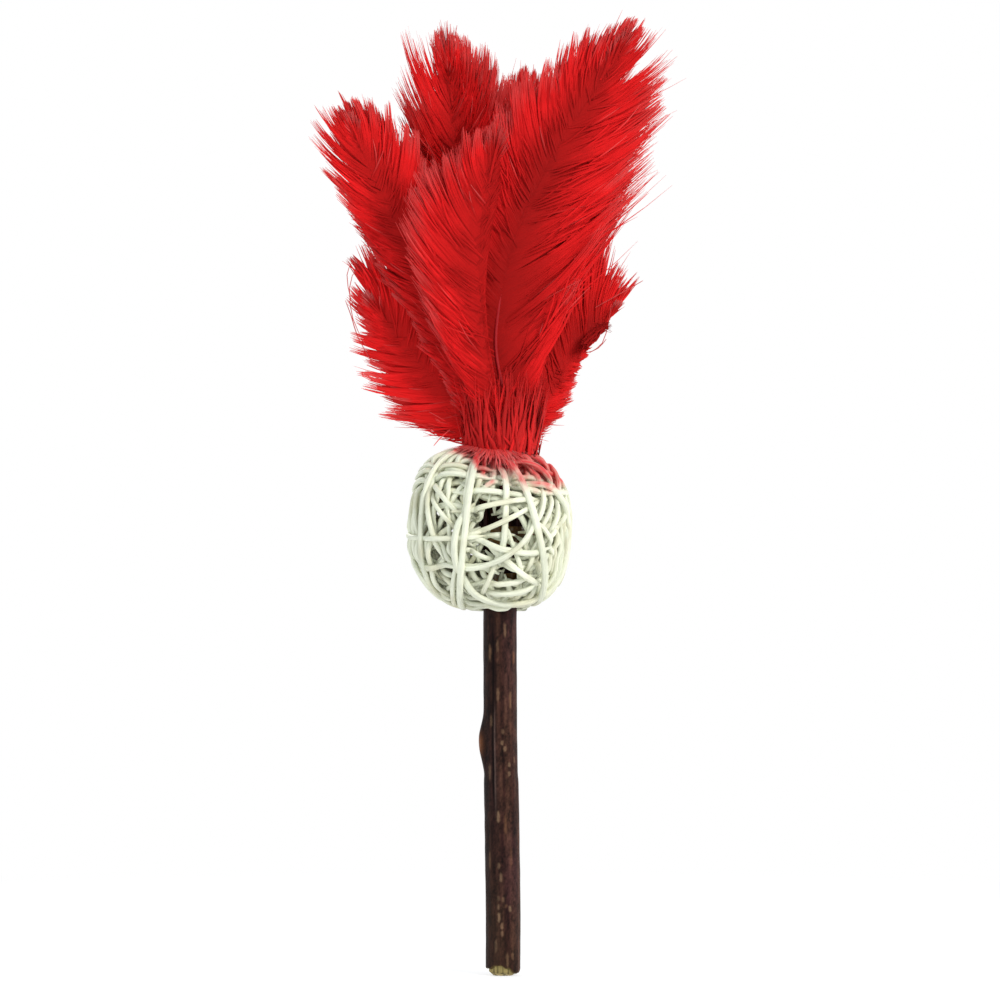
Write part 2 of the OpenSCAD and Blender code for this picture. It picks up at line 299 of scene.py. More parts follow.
def build(name, material, points, quads, tris, uvs, tint=None, normals=None, sharp=None):
    """A mesh from points in mm. Each of uvs has the places of the quads' corners, and then of the
    triangles'. tint has a colour a point, normals a way a corner, and sharp tells from an edge's
    two points whether shading breaks there."""
    mesh = bpy.data.meshes.new(name)
    mesh.vertices.add(points.size // 3)
    fill(mesh.vertices, "co", points * MM)
    mesh.loops.add(quads.size + tris.size)
    fill(mesh.loops, "vertex_index", np.concatenate([quads.ravel(), tris.ravel()]), np.int32)
    starts = np.concatenate([np.arange(len(quads)) * 4, quads.size + np.arange(len(tris)) * 3])
    mesh.polygons.add(len(starts))
    fill(mesh.polygons, "loop_start", starts, np.int32)
    mesh.update(calc_edges=True)
    fill(mesh.polygons, "use_smooth", starts >= 0, bool)
    if normals is not None:
        fill(mesh.attributes.new("custom_normal", "FLOAT_VECTOR", "CORNER").data, "vector", normals)
    if sharp is not None:
        ends = np.empty(len(mesh.edges) * 2, np.int32)
        mesh.edges.foreach_get("vertices", ends)
        mesh.edges.foreach_set("use_edge_sharp", sharp(*ends.reshape(-1, 2).T))
    for key, places in uvs.items():
        flat = np.concatenate([place.reshape(-1, 2) for place in places])
        fill(mesh.uv_layers.new(name=key).data, "uv", flat)
    if tint is not None:
        tint = tint.reshape(-1, 3)
        colour = mesh.attributes.new("Tint", "FLOAT_COLOR", "POINT")
        fill(colour.data, "color", np.concatenate([tint, np.ones((len(tint), 1))], axis=1))
    mesh.materials.append(material)
    return new_object(name, mesh)


NO_TRIS = np.zeros((0, 3), int)


def grid_faces(rows, columns, first=0):
    """Quads of closed rings of points, and each corner's place round them and along them."""
    i, j = np.meshgrid(np.arange(rows - 1), np.arange(columns), indexing="ij")
    i, j = i.ravel(), j.ravel()
    across = np.stack([j, j + 1, j + 1, j], 1)
    along = np.stack([i, i, i + 1, i + 1], 1)
    return along * columns + across % columns + first, across, along


def rings_round(line, up, wide, x, y):
    """Rings of points round a line, where up is each ring's own upward way."""
    t = unit(np.gradient(line, axis=0))
    side = unit(np.cross(t, up))
    over = np.cross(side, t)
    ring = side[:, None] * x[..., None] + over[:, None] * y[..., None]
    return line[:, None] + wide[..., None] * ring


def tube(rings, lengths, first=0, row=0, rows=1):
    """A closed tube's points, quads and end triangles, and its places in the two UV maps. In the
    bake's map it has one of so many rows."""
    n, sides, _ = rings.shape
    quads, across, along = grid_faces(n, sides, first)
    j = np.arange(1, sides - 1)
    cap = np.stack([0 * j, j, j + 1], 1) + first
    caps = np.concatenate([cap[:, ::-1], cap + (n - 1) * sides])
    plain = np.zeros((*caps.shape, 2))
    bake_x = 0.002 + 0.996 * along / (n - 1)
    bake_y = (row + 0.03 + 0.94 * across / sides) / rows
    return (rings.reshape(-1, 3), quads, caps,
            np.stack([across / sides, lengths[along]], -1), plain + [0.5, 0.0],
            np.stack([bake_x, bake_y], -1), plain + [0.001, (row + 0.5) / rows])


def tubes_piece(name, material, tubes, tint=None):
    points, quads, caps, uv4, uv3, bake4, bake3 = (np.concatenate(lot) for lot in zip(*tubes))
    uvs = {"Length": (uv4, uv3), "OFBake": (bake4, bake3)}
    return build(name, material, points, quads, caps, uvs, tint)


def stands_for(piece, node):
    """The piece moves with the wand's one body, in the place of a node of the source."""
    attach(piece, "root")
    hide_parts(node)


# Materials

def tinted_material(name, grains, patch=None, shine=None, bump=None, **sockets):
    """A material that tints the mesh's own colours. Each of the grains has cells across and along,
    detail, roughness, and the tones of its lows and highs; patch has a scale, detail and tones. The
    first grain sets the roughness within shine, and all of them the bumps."""
    n = material_nodes(name)
    noises = [n.grain(*grain[:4]) for grain in grains]
    tones = [n.span(one, *grain[4:]) for one, grain in zip(noises, grains)]
    if patch:
        tones.insert(1, n.span(n.patches(*patch[:2]), *patch[2:]))
    colour = tones[0]
    for tone in tones[1:]:
        colour = n.math("MULTIPLY", colour, tone)
    own = n.add("Attribute", out="Color", attribute_name="Tint")
    sockets["Base_Color"] = n.mix(1.0, own, colour, "MULTIPLY")
    if shine:
        sockets["Roughness"] = n.span(noises[0], *shine)
    if bump:
        height = noises[0]
        for other in noises[1:]:
            height = n.math("ADD", height, n.math("MULTIPLY", other, 0.5))
        sockets["Normal"] = n.bump(height, *bump)
    return n.surface(**sockets)


def quill_material():
    """Dyed quills: horn-smooth, darker in long streaks, and with painted shade inside the ball, where they
    are darkest.
    """
    n = material_nodes("dyed_quill")
    streak = n.grain(5, 0.05, 3.0, 0.5)
    height = n.add("SeparateXYZ", n.place(), out="Z")
    colour = n.mix(n.span(streak, 0, 1), srgb(122, 10, 15), srgb(184, 25, 34))
    # Painted shade: the quills go dark below the ball's top, inside the ball
    colour = n.mix(n.span(height, 0, 1, 0.122, 0.132), srgb(52, 12, 14), colour)
    return n.surface(Base_Color=colour, Roughness=0.45, Specular_IOR_Level=0.22,
                     Normal=n.bump(streak, 0.3, 0.00006))


def glue_material():
    """Set glue: yellowish, smooth and a little cloudy."""
    n = material_nodes("set_glue")
    cloud = n.patches(500.0, 2.0)
    return n.surface(Base_Color=n.mix(n.span(cloud, 0, 1), srgb(142, 106, 62), srgb(92, 62, 34)),
                     Roughness=0.18, Coat_Weight=0.4, Coat_Roughness=0.08, Specular_IOR_Level=0.5,
                     Normal=n.bump(cloud, 0.25, 0.0002))


# Streaks run along each barb, and light catches their edges
BARBS = tinted_material("dyed_barbs", [(60, 3, 3.0, 0.5, 0.9, 1.1, 0.25, 0.75)], (160.0, 2.0, 0.92, 1.08),
                        (0.55, 0.72), Specular_IOR_Level=0.06, Sheen_Weight=0.03, Sheen_Roughness=0.4,
                        Sheen_Tint=(1.0, 0.3, 0.25))
# Peeled rattan, with fibres along the strand, open pores and duller stretches
CANE = tinted_material("peeled_rattan",
                       [(14, 0.16, 4.0, 0.6, 0.8, 1.06), (30, 0.9, 2.0, 0.6, 0.9, 1.0, 0.28, 0.45)],
                       (130.0, 3.0, 0.9, 1.04), (0.42, 0.6), (0.7, 0.00016), Specular_IOR_Level=0.3)
# Smooth young bark, with fine lengthwise ridges and a waxy shine
BARK = tinted_material("bark", [(60, 0.35, 4.0, 0.65, 0.72, 1.3), (150, 4, 2.0, 0.6, 0.85, 1.15)], None,
                       (0.42, 0.62), (0.55, 0.00015), Specular_IOR_Level=0.07)
# Cut green wood, with fine fibres over the rings that its colours show
WOOD = tinted_material("cut_wood", [(40, 6, 3.0, 0.6, 0.82, 1.1)], bump=(0.5, 0.0001), Roughness=0.72,
                       Specular_IOR_Level=0.25)
QUILL = quill_material()
GLUE = glue_material()


# The ball's shape

OUTER_R = BALL_D / 2 - STRAND_D / 2
# The ball isn't even: places that stand out or lie in, as a way from its middle, mm and width
LUMPS = [((-0.62, 0, 0.76), 1.3, 0.45), ((-0.98, 0, 0.3), -0.9, 0.4), ((1, 0, 0.25), 0.8, 0.4),
         ((0.7, 0, -0.7), 0.9, 0.4), ((-0.8, 0, -0.62), -0.7, 0.4), ((-1, 0, -0.05), 0.5, 0.3),
         ((0.6, 0, 0.8), 0.7, 0.35), ((0.2, 0.9, 0.4), 0.6, 0.5), ((-0.3, 0.9, -0.4), -0.6, 0.5)]


def squared(v):
    """Ways from the ball's middle, as long as the ball reaches there in shares of its radius."""
    shape = v * np.sum(np.abs(v) ** BALL_POWER, -1, keepdims=True) ** (-1 / BALL_POWER)
    for way, rise, width in LUMPS:
        near = np.linalg.norm(v - unit(np.array(way, float)), axis=-1, keepdims=True)
        shape = shape * (1 + rise / OUTER_R * bell(near, width))
    return shape


# Feathers

# Where each feather's quill stands round the stick, its path in shares of the plume's sizes, and its
# yaw, all as in the part's source; its barbs' camber, lean, and lengths on the left and right; how
# far they reach past the quill's end in mm; which way its webs fold, 1 to the back and -1 to the
# front; how bright its red is, set partly to offset how the feather is lit and so partly painted
# light and shade; and how much painted light shines through its pale frayed tips. Some have barbs
# that lean or are loose in their own way at the foot or tip, ragged clumps, combs of barbs that
# stand apart, as (left or right, from, to), and splits, as (left or right, place, degrees, width).
FEATHERS = {
    "front": dict(
        angle=-90, yaw=0, camber=0.05, lean=52, tip=11.5, fold=1, dye=0.98, fray=0.35, foot_lean=66,
        foot_loose=0.2,
        path=[(-0.03, -0.36, 0.12), (-0.1, -0.54, 0.31), (-0.11, -0.7, 0.48), (-0.05, -0.86, 0.64)],
        left=[0.5, 0.62, 0.8, 0.95, 1, 0.95, 0.8, 0.6, 0.42],
        right=[0.03, 0.04, 0.05, 0.07, 0.14, 0.24, 0.3, 0.3, 0.26]),
    "right": dict(
        angle=-38.6, yaw=4, camber=0.04, lean=48, tip=10.5, fold=0.9, dye=0.85, fray=0.5, foot_lean=68,
        foot_loose=0.2, tip_turn=-13, combs=[(1, 0.8, 0.98)],
        splits=[(1, 0.88, 6, 0.03), (1, 0.5, 3, 0.02), (1, 0.63, 3, 0.02)],
        path=[(0.01, -0.21, 0.12), (-0.03, -0.28, 0.27), (0.09, -0.32, 0.5), (0.33, -0.34, 0.71),
              (0.62, -0.34, 0.9)],
        left=[0.3, 0.42, 0.55, 0.68, 0.74, 0.78, 0.86, 0.88, 0.8, 0.62, 0.4],
        right=[0.5, 1, 1.34, 1.56, 1.55, 1.44, 1.34, 1.21, 1.05, 0.8, 0.36]),
    "left": dict(
        angle=-141.4, yaw=-3, camber=0.04, lean=52, tip=8.5, fold=0.8, dye=1.06, fray=0.5,
        foot_lean=50, foot_loose=0.5, tip_turn=8, ragged=0.3, combs=[(-1, 0.7, 0.97)],
        splits=[(-1, 0.87, 4, 0.03)],
        path=[(-0.17, -0.1, 0.12), (-0.36, -0.1, 0.32), (-0.6, -0.11, 0.55), (-0.79, -0.12, 0.72)],
        left=[0.2, 0.3, 0.31, 0.42, 0.52, 0.66, 0.8, 0.72, 0.3],
        right=[0.02, 0.26, 0.54, 0.7, 0.8, 0.82, 0.78, 0.62, 0.36]),
    "low_right": dict(
        angle=12.9, yaw=6, camber=0.06, lean=46, tip=4.5, fold=0.5, dye=0.98, fray=0.7, tip_turn=-8,
        ragged=1, splits=[(1, 0.5, 6, 0.04), (1, 0.75, 6, 0.04)],
        path=[(0.15, 0.12, 0.07), (0.3, 0.24, 0.16), (0.46, 0.34, 0.24), (0.6, 0.42, 0.31)],
        left=[0.2, 0.4, 0.64, 0.92, 1.06, 0.84, 0.36],
        right=[0.28, 0.4, 0.34, 0.2, 0.13, 0.1, 0.08]),
    "low_left": dict(
        angle=167.1, yaw=-6, camber=0.06, lean=44, tip=7, fold=0.5, dye=1.18, fray=0.8, ragged=0.8,
        splits=[(-1, 0.35, 5, 0.04), (-1, 0.6, 6, 0.04)],
        path=[(-0.16, 0.03, 0.07), (-0.34, 0.06, 0.15), (-0.51, 0.08, 0.23), (-0.66, 0.1, 0.31)],
        left=[0.28, 0.72, 0.78, 0.64, 0.5, 0.44, 0.34],
        right=[0.06, 0.3, 0.6, 0.8, 0.86, 0.8, 0.6]),
    "centre": dict(
        angle=64.3, yaw=4, camber=0.06, lean=54, tip=10.5, fold=-0.9, dye=0.95, fray=0.6,
        path=[(0.06, 0.45, 0.13), (0.11, 0.64, 0.34), (0.11, 0.8, 0.58), (0.14, 0.95, 0.8)],
        left=[0.02, 0.22, 0.56, 0.75, 0.86, 0.88, 0.82, 0.66, 0.44],
        right=[0.2, 0.48, 0.66, 0.8, 0.88, 0.88, 0.8, 0.62, 0.4]),
    "mid_left": dict(
        angle=115.7, yaw=-3, camber=0.04, lean=56, tip=16, fold=-0.6, dye=1.02, fray=0.5,
        combs=[(-1, 0.72, 0.97)], splits=[(-1, 0.91, 4, 0.03)],
        path=[(-0.08, 0.24, 0.13), (-0.15, 0.35, 0.37), (-0.22, 0.42, 0.62), (-0.28, 0.46, 0.86)],
        left=[0.2, 0.48, 0.62, 0.72, 0.8, 0.88, 0.96, 0.86, 0.46],
        right=[0.01, 0.2, 0.6, 0.8, 0.94, 1.02, 1, 0.8, 0.44]),
}
FOOT_SHARE = 0.08
LEAN_WINDOW = 0.16
TIP_LEAN = 87.0
# The web's layers: mm between barbs, degrees of fold, how much these vary, and the share of barbs
# that a comb leaves out. Three are the web, the next lies over it and the last stands in the plume.
LAYERS = [(0.15, 5, 2, 0.25), (0.17, 11, 4, 0.0), (0.28, 42, 18, 1.0), (0.42, 3, 3, 0.6),
          (0.24, 14, 8, 1.0)]
# Each barb has so many steps, at these shares of its length
STEPS = 6
S = np.linspace(0, 1, STEPS + 1)
FORWARD = np.array([0.0, -1.0, 0.0])


class Feather:
    """One feather: its row of the table, and its quill's curve."""

    # What holds where the row doesn't say
    foot_lean, foot_loose = 12.0, 1.0
    tip_turn = ragged = 0.0
    combs = splits = ()

    def __init__(self, name):
        self.name = name
        self.__dict__.update(FEATHERS[name])
        a = math.radians(self.angle)
        self.root = np.array([RING_R * math.cos(a), RING_R * math.sin(a), 0.0])
        bundle = np.array([BUNDLE_W * math.cos(a) * 0.72, BUNDLE_W * math.sin(a), 0.0])
        self.route = [self.root + [0, 0, STICK_LENGTH], bundle + [0, 0, BALL_TOP]]
        self.route += [(x * PLUME_W, y * PLUME_DEPTH, BALL_TOP + z * PLUME_H) for x, y, z in self.path]
        self.start = (1 + FOOT_SHARE) / (len(self.path) + 1)
        y = math.radians(self.yaw)
        self.face = np.array([math.sin(y), -math.cos(y), 0.0])

    def point(self, u):
        return curve(self.route, u)

    def way(self, u, window=0.01):
        return unit(self.point(np.minimum(u + window, 1)) - self.point(np.maximum(u - window, 0)))

    def shaft_r(self, u):
        return QUILL_R + (TIP_R - QUILL_R) * u


def shaft_piece(f):
    u = np.linspace(0, 1, 110)
    foot = [f.root + [0, 0, z] for z in (QUILL_ROOT_Z, QUILL_ROOT_Z + 4, STICK_LENGTH - 4)]
    line = np.concatenate([foot, f.point(u)])
    radii = np.concatenate([[QUILL_R * 0.8, QUILL_R, QUILL_R], f.shaft_r(u) * (1 - 0.25 * u ** 4)])
    radii[-1] *= 0.3
    a = turns(14)[None]
    rings = rings_round(line, FORWARD, radii[:, None], np.cos(a), np.sin(a) * 0.92)
    piece = tubes_piece(f"feather_{f.name}_quill", QUILL, [tube(rings, run_lengths(line))])
    stands_for(piece, f"feather_{f.name}_shaft")


DARK = srgb(150, 15, 14)
MID = srgb(190, 21, 21)
BRIGHT = srgb(220, 26, 28)
# The pink of frayed tips: painted light shining through them
BACKLIT_FRAY = srgb(228, 128, 126)


class Barbs:
    """One feather's barbs, as thin three-sided blades."""

    def __init__(self, feather):
        self.feather = feather
        self.lots = []

    def dyed(self, tone, pale):
        """The barbs' colour: tone runs from dark to bright, and pale is how much painted light shines
        through a place's frayed tips.
        """
        colour = blend(DARK, MID, tone)
        # Each feather's redness is set partly to offset how it is lit, so it is partly painted light and
        # shade
        colour = blend(colour, BRIGHT, smooth((tone - 0.55) / 0.45)) * self.feather.dye
        return blend(colour, BACKLIT_FRAY, pale)

    def add(self, rng, line, width, up, tone, pale, hand=1, dim=1.0, keep=slice(None)):
        """line is (barbs, steps + 1, 3) and up the web's own upward way. Width, tone and pale
        have a number a step, or fewer that are spread over the steps."""
        up = np.broadcast_to(up, line.shape)[keep]
        width, tone, pale = (np.broadcast_to(x, line.shape[:2])[keep] for x in (width, tone, pale))
        line = line[keep]
        t = unit(np.gradient(line, axis=1))
        roll = rng.normal(0, 0.12, len(line))[:, None, None]
        up = unit(up - t * np.sum(up * t, -1, keepdims=True))
        side = np.cross(t, up)
        out = side * np.cos(roll) + up * np.sin(roll)
        rise = -side * np.sin(roll) + up * np.cos(roll)
        w = width[..., None]
        rings = np.stack([line + out * w / 2, line - out * w / 2, line + rise * w * 0.15], 2)
        tints = np.repeat((self.dyed(tone, pale) * dim)[:, :, None], 3, 2)
        self.lots.append((rings, rise, out, tints, np.full(len(line), hand), rng.random(len(line))))

    def piece(self, name):
        rings, ups, outs, tints, hands, seeds = (np.concatenate(lot) for lot in zip(*self.lots))
        b, n, _, _ = rings.shape
        faces, across, along = grid_faces(n, 3)
        i = np.repeat(np.arange(b), len(faces))[:, None]
        quads = np.tile(faces, (b, 1)) + i * n * 3
        across = np.tile(across, (b, 1))
        along = np.tile(along, (b, 1))
        base = np.arange(b)[:, None] * n * 3
        tris = np.concatenate([base + [2, 1, 0], base + (n - 1) * 3 + [0, 1, 2]])
        # Normals that follow the web, so that its barbs shade as one soft surface
        bulge = np.array([0.8, -0.8, 0.0])[across % 3][..., None]
        facing = np.where(across[:, :1] == 0, -1.0, 1.0)[..., None]
        four = unit(ups[i, along] * facing + outs[i, along] * bulge)
        three = np.repeat(np.concatenate([ups[:, 0], ups[:, -1]])[:, None], 3, 1)
        normals = np.concatenate([four.reshape(-1, 3), three.reshape(-1, 3)])

        def sharp(p, q):
            """A blade's underside ends at its two long edges, and at its root and tip."""
            under = (p % 3 < 2) & (q % 3 < 2)
            ring = (p // 3) % n
            return under & ((p % 3 == q % 3) | (ring == 0) | (ring == n - 1))

        plain = np.zeros((*tris.shape, 2))
        along = along / (n - 1)
        length = np.stack([across / 3 * 0.05 + seeds[i], along + seeds[i] * 7], -1)
        bake_x = 0.5 + np.where(hands[i] > 0, 0.5, -0.5) * (0.01 + 0.98 * along)
        bake_y = (i + 0.05 + 0.9 * across / 3) / b
        uvs = {"Length": (length, plain), "OFBake": (np.stack([bake_x, bake_y], -1), plain + 0.5)}
        return build(name, BARBS, rings, quads, tris, uvs, tints, normals, sharp)


def taper(share, start):
    """Full width up to the start, and thinner by the share at the tip."""
    return 1 - share * smooth((S - start) / (1 - start))


def tones(rng, middle, spread, count):
    return np.clip(rng.normal(middle, spread, count), 0, 1)[:, None]


def swept(out, way, theta, reach):
    """Lines that leave along out and turn towards way, by an angle a step."""
    move = out[:, None] * np.cos(theta)[..., None] + way[:, None] * np.sin(theta)[..., None]
    return np.concatenate([move[:, :1] * 0, np.cumsum(move, 1) / STEPS], 1) * reach[..., None]


def ripple(line, rng, pace, spread, height):
    """Gives each barb waves of its own, which grow towards its tip."""
    count = len(line)
    phase = rng.random((count, 3)) * 7
    for a in range(3):
        wave = np.sin(S * (pace + spread * rng.random(count))[:, None] + phase[:, a, None])
        line[..., a] += wave * S * height


def part_of(line, spot):
    """Each line read at places counted in its steps."""
    low = np.minimum(spot.astype(int), STEPS - 1)
    share = (spot - low)[..., None]
    rows = np.arange(len(line))[:, None]
    return line[rows, low] * (1 - share) + line[rows, low + 1] * share


def add_web(barbs, hand, shares, seed, layer):
    """One layer of the barbs on one side of a feather."""
    f = barbs.feather
    rng = np.random.default_rng(seed)
    spacing, fold_by, fold_spread, combed_out = LAYERS[layer]
    loose = layer >= 3
    count = int(run_lengths(f.point(np.linspace(f.start, 1, 200)))[-1] / spacing)
    v = np.sort(np.clip((np.arange(count) + 0.5 + rng.normal(0, 0.4, count)) / count, 0, 1))
    u = f.start + (1 - f.start) * v
    t = f.way(u)
    way = f.way(u, LEAN_WINDOW)
    side = unit(np.cross(t, f.face)) * hand
    across = unit(np.cross(way, f.face)) * hand
    normal = unit(np.cross(np.cross(t, f.face), t))
    reach = BARB_LENGTH * curve(np.array(shares)[:, None], v)
    root = f.point(u)
    shaft_r = f.shaft_r(u)[:, None]
    v = v[:, None]
    lean = f.lean + (TIP_LEAN - f.lean) * v ** 5 + (f.foot_lean - f.lean) * (1 - v) ** 8

    # Clumps of barbs that hold together
    sizes = []
    while sum(sizes) < count:
        sizes.append(int(rng.integers(7, 26)))
    k = len(sizes)
    clump = np.repeat(np.arange(k), sizes)[:count]
    members = [np.flatnonzero(clump == i) for i in range(k)]

    groups, each = (k, 1), (count, 1)

    def vary(clumps, own):
        """What a clump's barbs have in common, and each barb's own."""
        return rng.normal(0, clumps, groups)[clump] + rng.normal(0, own, each)

    # The barbs' way: looser at the foot, and the front feather's right web close against its quill
    down = np.clip(1 - v / 0.16, 0, 1) * f.foot_loose
    close = f.name == "front" and hand > 0
    calm = 0.15 if close else 1.0
    if close:
        lean = np.maximum(lean, 80 - 18 * v)
    lean += calm * vary(1.1, 1.6) * (1 + 5 * down)
    comb = 0 * v
    for of_hand, low, high in f.combs:
        if of_hand == hand:
            comb = smooth((v - low) / 0.06) * smooth((high - v) / 0.02)
    for of_hand, place, degrees, width in f.splits:
        if of_hand == hand and layer != 1:
            lean += degrees * np.sign(v - place) * bell(np.abs(v - place), width, 1)

    # Their length: shorter under the top layer and at a clump's edges
    reach *= 1 - 0.06 * (layer % 3) + vary(0.05, 0.03)
    reach *= 1 + f.ragged * np.clip(rng.normal(-0.06, 0.14, groups), -0.3, 0.2)[clump]
    lean += f.ragged * rng.normal(0, 4, groups)[clump]
    middles = np.array([m.mean() for m in members])
    apart = np.abs(np.arange(count) - middles[clump]) / (np.array(sizes)[clump] / 2.0)
    reach *= 1.04 - 0.2 * rng.uniform(0.3, 1.2, groups)[clump] * apart[:, None] ** 1.4 * (layer == 0)
    reach *= 1 - 0.3 * comb * (layer == 1)
    stray = rng.random(each) < 0.035
    lean += stray * rng.normal(0, 5, each)
    reach *= 1 + stray * rng.random(each) * 0.1
    lift = vary(0.38 * calm, 0.2) + stray * rng.normal(0, 1, each)

    # Their lines, which curl along the web and fold out of it
    curl = calm * (24 + rng.normal(0, 4, groups)[clump])
    theta = np.radians(np.minimum(lean + curl * ((S[1:] + S[:-1]) / 2 - 0.5), 91))
    fold = np.radians(f.fold * calm * (fold_by + rng.normal(0, fold_spread, groups)[clump]))
    line = swept(across * np.cos(fold) - normal * np.sin(fold), way, theta, reach)
    # The barbs' roots cover the shaft, but for the stretch of one shaft that shows
    bare = smooth((0.55 - v) / 0.2) * (f.name == "right" and layer in (0, 3))
    over = shaft_r * (1.4 * bare - 0.5)
    front = shaft_r * 1.2 * (1 - bare) - 0.5 * (layer % 3)
    line += (root + side * over + normal * front)[:, None]
    wave = noise(S[None] * 2.2 + seed, v * 9, seed + 5)
    bow = (lift - f.camber * reach) * S ** 2 + 0.5 * calm * wave * S
    line += normal[:, None] * bow[..., None]
    # Tips drawn to their clump's middle barb
    guide = line[np.array([m[len(m) // 2] for m in members])[clump]]
    pull = rng.uniform(0.2, 0.7, groups)[clump] * (1 - 0.6 * down) * (1 - 0.85 * comb) * ~stray
    line += (guide - line) * (pull * calm * max(1 - 0.3 * layer, 0) * S ** 4)[..., None]
    ripple(line, rng, 5, 4, down * 1.1 + 0.07)
    width = (0.64 - 0.26 * down - 0.25 * stray - 0.2 * comb) * taper(0.9, 0.5)
    reached = S
    if loose:
        # Shorter barbs from anywhere on the web
        first = rng.uniform(0, 0.6, each) ** 1.2
        reached = first + rng.uniform(0.28, 0.42, each) * S
        line = part_of(line, reached * STEPS)
        face = np.where(rng.random(each) < 0.62, 1.0, -1.0)
        aside = np.cross(line[:, -1] - line[:, 0], normal) * rng.normal(0, 0.13, each)
        line += aside[:, None] * (S ** 1.5)[:, None]
        stand = rng.uniform(0, 0.6, each)
        if layer == 4:
            face = -np.sign(f.fold)
            stand = rng.uniform(0.8, 6, each)
        rise = face * (0.1 + stand * S ** 1.3) + 0.1
        line += normal[:, None] * rise[..., None]
        cross_over = 1.3 * (1 - bare) * np.exp(-first * 7) * (1 - S)
        line -= side[:, None] * cross_over[..., None]
        width = 0.44 * taper(0.9, 0.35) * (0.4 + 0.6 * smooth(S / 0.2))

    # Colour: painted shade, darkest in a valley beside the shaft and lighter away from it, and frayed
    # tips made pale with painted light shining through them
    painted_valley_shade = 0.7 if f.name == "right" else 0.42
    tone = np.clip(0.6 + vary(0.1, 0.05), 0, 1) * (1 - painted_valley_shade)
    tone = tone + painted_valley_shade * smooth((reached + 0.1) / 0.65)
    tone = tone + 0.12 * noise(reached * 2.5 + 3, v * 7, seed % 50 + 90)
    tone = np.clip(tone * (0.5 if close else 1), 0, 1)
    pale = f.fray * rng.random(groups)[clump] * rng.uniform(0.4, 1, each)
    pale = pale * smooth((reach - 6) / 8) * smooth((reached - 0.7) / 0.3)
    pale = np.maximum(pale, 0.22 * smooth((reached - 0.75) / 0.25))
    if loose:
        some = (rng.random(each) < 0.12) * rng.random(each)
        pale = np.maximum(pale, 0.5 * some * S ** 2)
    keep = rng.random(each) > comb * combed_out
    if loose:
        keep &= (first > 0.12) | (bare < 0.2)
    barbs.add(rng, line, width, normal[:, None], tone, pale * (not close), hand, keep=keep[:, 0])


def add_tip(barbs, seed, count=110):
    """The barbs past the quill's end, which close the feather's tip."""
    f = barbs.feather
    rng = np.random.default_rng(seed)
    u = 1 - 0.05 * rng.random(count)
    way = f.way(u, LEAN_WINDOW)
    across = unit(np.cross(way, f.face))
    normal = unit(np.cross(across, way))
    off = np.radians(rng.normal(f.tip_turn, 10, count))
    reach = f.tip * np.maximum(1.02 - 2.4 * off ** 2, 0.4) * rng.uniform(0.8, 1, count)
    turn = off[:, None] * (0.5 + 0.55 * (S[1:] + S[:-1]))
    line = swept(way, across, turn, (reach + (1 - u) * 60)[:, None])
    bow = rng.normal(0, 0.8, count)[:, None] * S ** 2 + 0.35 * rng.normal(0, 1, count)[:, None]
    line += f.point(u)[:, None] + normal[:, None] * bow[..., None]
    tone = tones(rng, 0.55, 0.1, count)
    # Paler towards the tip: painted light shining through it
    pale = 1.6 * f.fray * rng.uniform(0.2, 0.6, count)[:, None] * smooth((S - 0.6) / 0.4)
    barbs.add(rng, line, 0.5 * taper(0.88, 0.4), normal[:, None], tone, pale)


def add_down(barbs, seed, count):
    """Loose down round the quill, from inside the ball's mouth to the vane's foot."""
    f = barbs.feather
    rng = np.random.default_rng(seed)
    u = rng.uniform(0.8, 1.6, count) / (len(f.route) - 1)
    t = f.way(u)
    turn = rng.uniform(0, 2 * np.pi, count)[:, None]
    a = unit(np.cross(t, f.face))
    b = np.cross(a, t)
    out = a * np.cos(turn) + b * np.sin(turn) * 0.6
    lean = np.radians(rng.normal(62, 10, count))[:, None]
    reach = rng.uniform(5, 13, count)[:, None]
    way = out * np.cos(lean) + t * np.sin(lean)
    line = f.point(u)[:, None] + way[:, None] * (reach * S)[..., None]
    ripple(line, rng, 6, 5, 0.7)
    # A brighter tone than the webs': painted light that lifts the shade the down lies in
    barbs.add(rng, line, 0.34 * (1 - 0.88 * S), -b[:, None], tones(rng, 0.85, 0.1, count), 0.0)


def add_spill(barbs, seed, count=400):
    """Short down that stands round the quills' feet on the ball's top, or lies low there."""
    rng = np.random.default_rng(seed)

    def between(low, high):
        return rng.uniform(low, high, (count, 1))

    low = (rng.random((count, 1)) < 0.35).astype(float)
    a = math.radians(barbs.feather.angle) + rng.normal(0, 0.8, count)
    a = a[:, None] + rng.normal(0, 0.2, count)[:, None] * S
    root = between(4.5, 9.4) * (1 - 0.4 * low)
    # What would stand in front of the right feather's quill goes behind it
    root = np.where(np.abs(a[:, :1] + 0.84) < 0.07, 2.8, root)
    tall = 4 + 15 * rng.random((count, 1))
    q = root + S * (low * between(1.5, 5.0) + (1 - low) * tall * between(-0.1, 0.25))
    foot = BALL_TOP - 0.6 - 0.022 * root ** 2 + between(0, 4) ** 1.5 / 2
    z = foot + S * (low * between(1.5, 4.0) + (1 - low) * tall)
    z = z - low * between(1.0, 3.5) * S ** 2
    line = np.stack([q * np.cos(a), q * np.sin(a), z], -1)
    line += 0.3 * np.sin(S * 7 + rng.random((count, 1)) * 7)[..., None] * S[:, None]
    up = np.stack([np.cos(a), np.sin(a), 0.4 + 0 * a], -1)
    barbs.add(rng, line, 0.9 * taper(0.92, 0.3), up, tones(rng, 0.66, 0.05, count), 0.03)


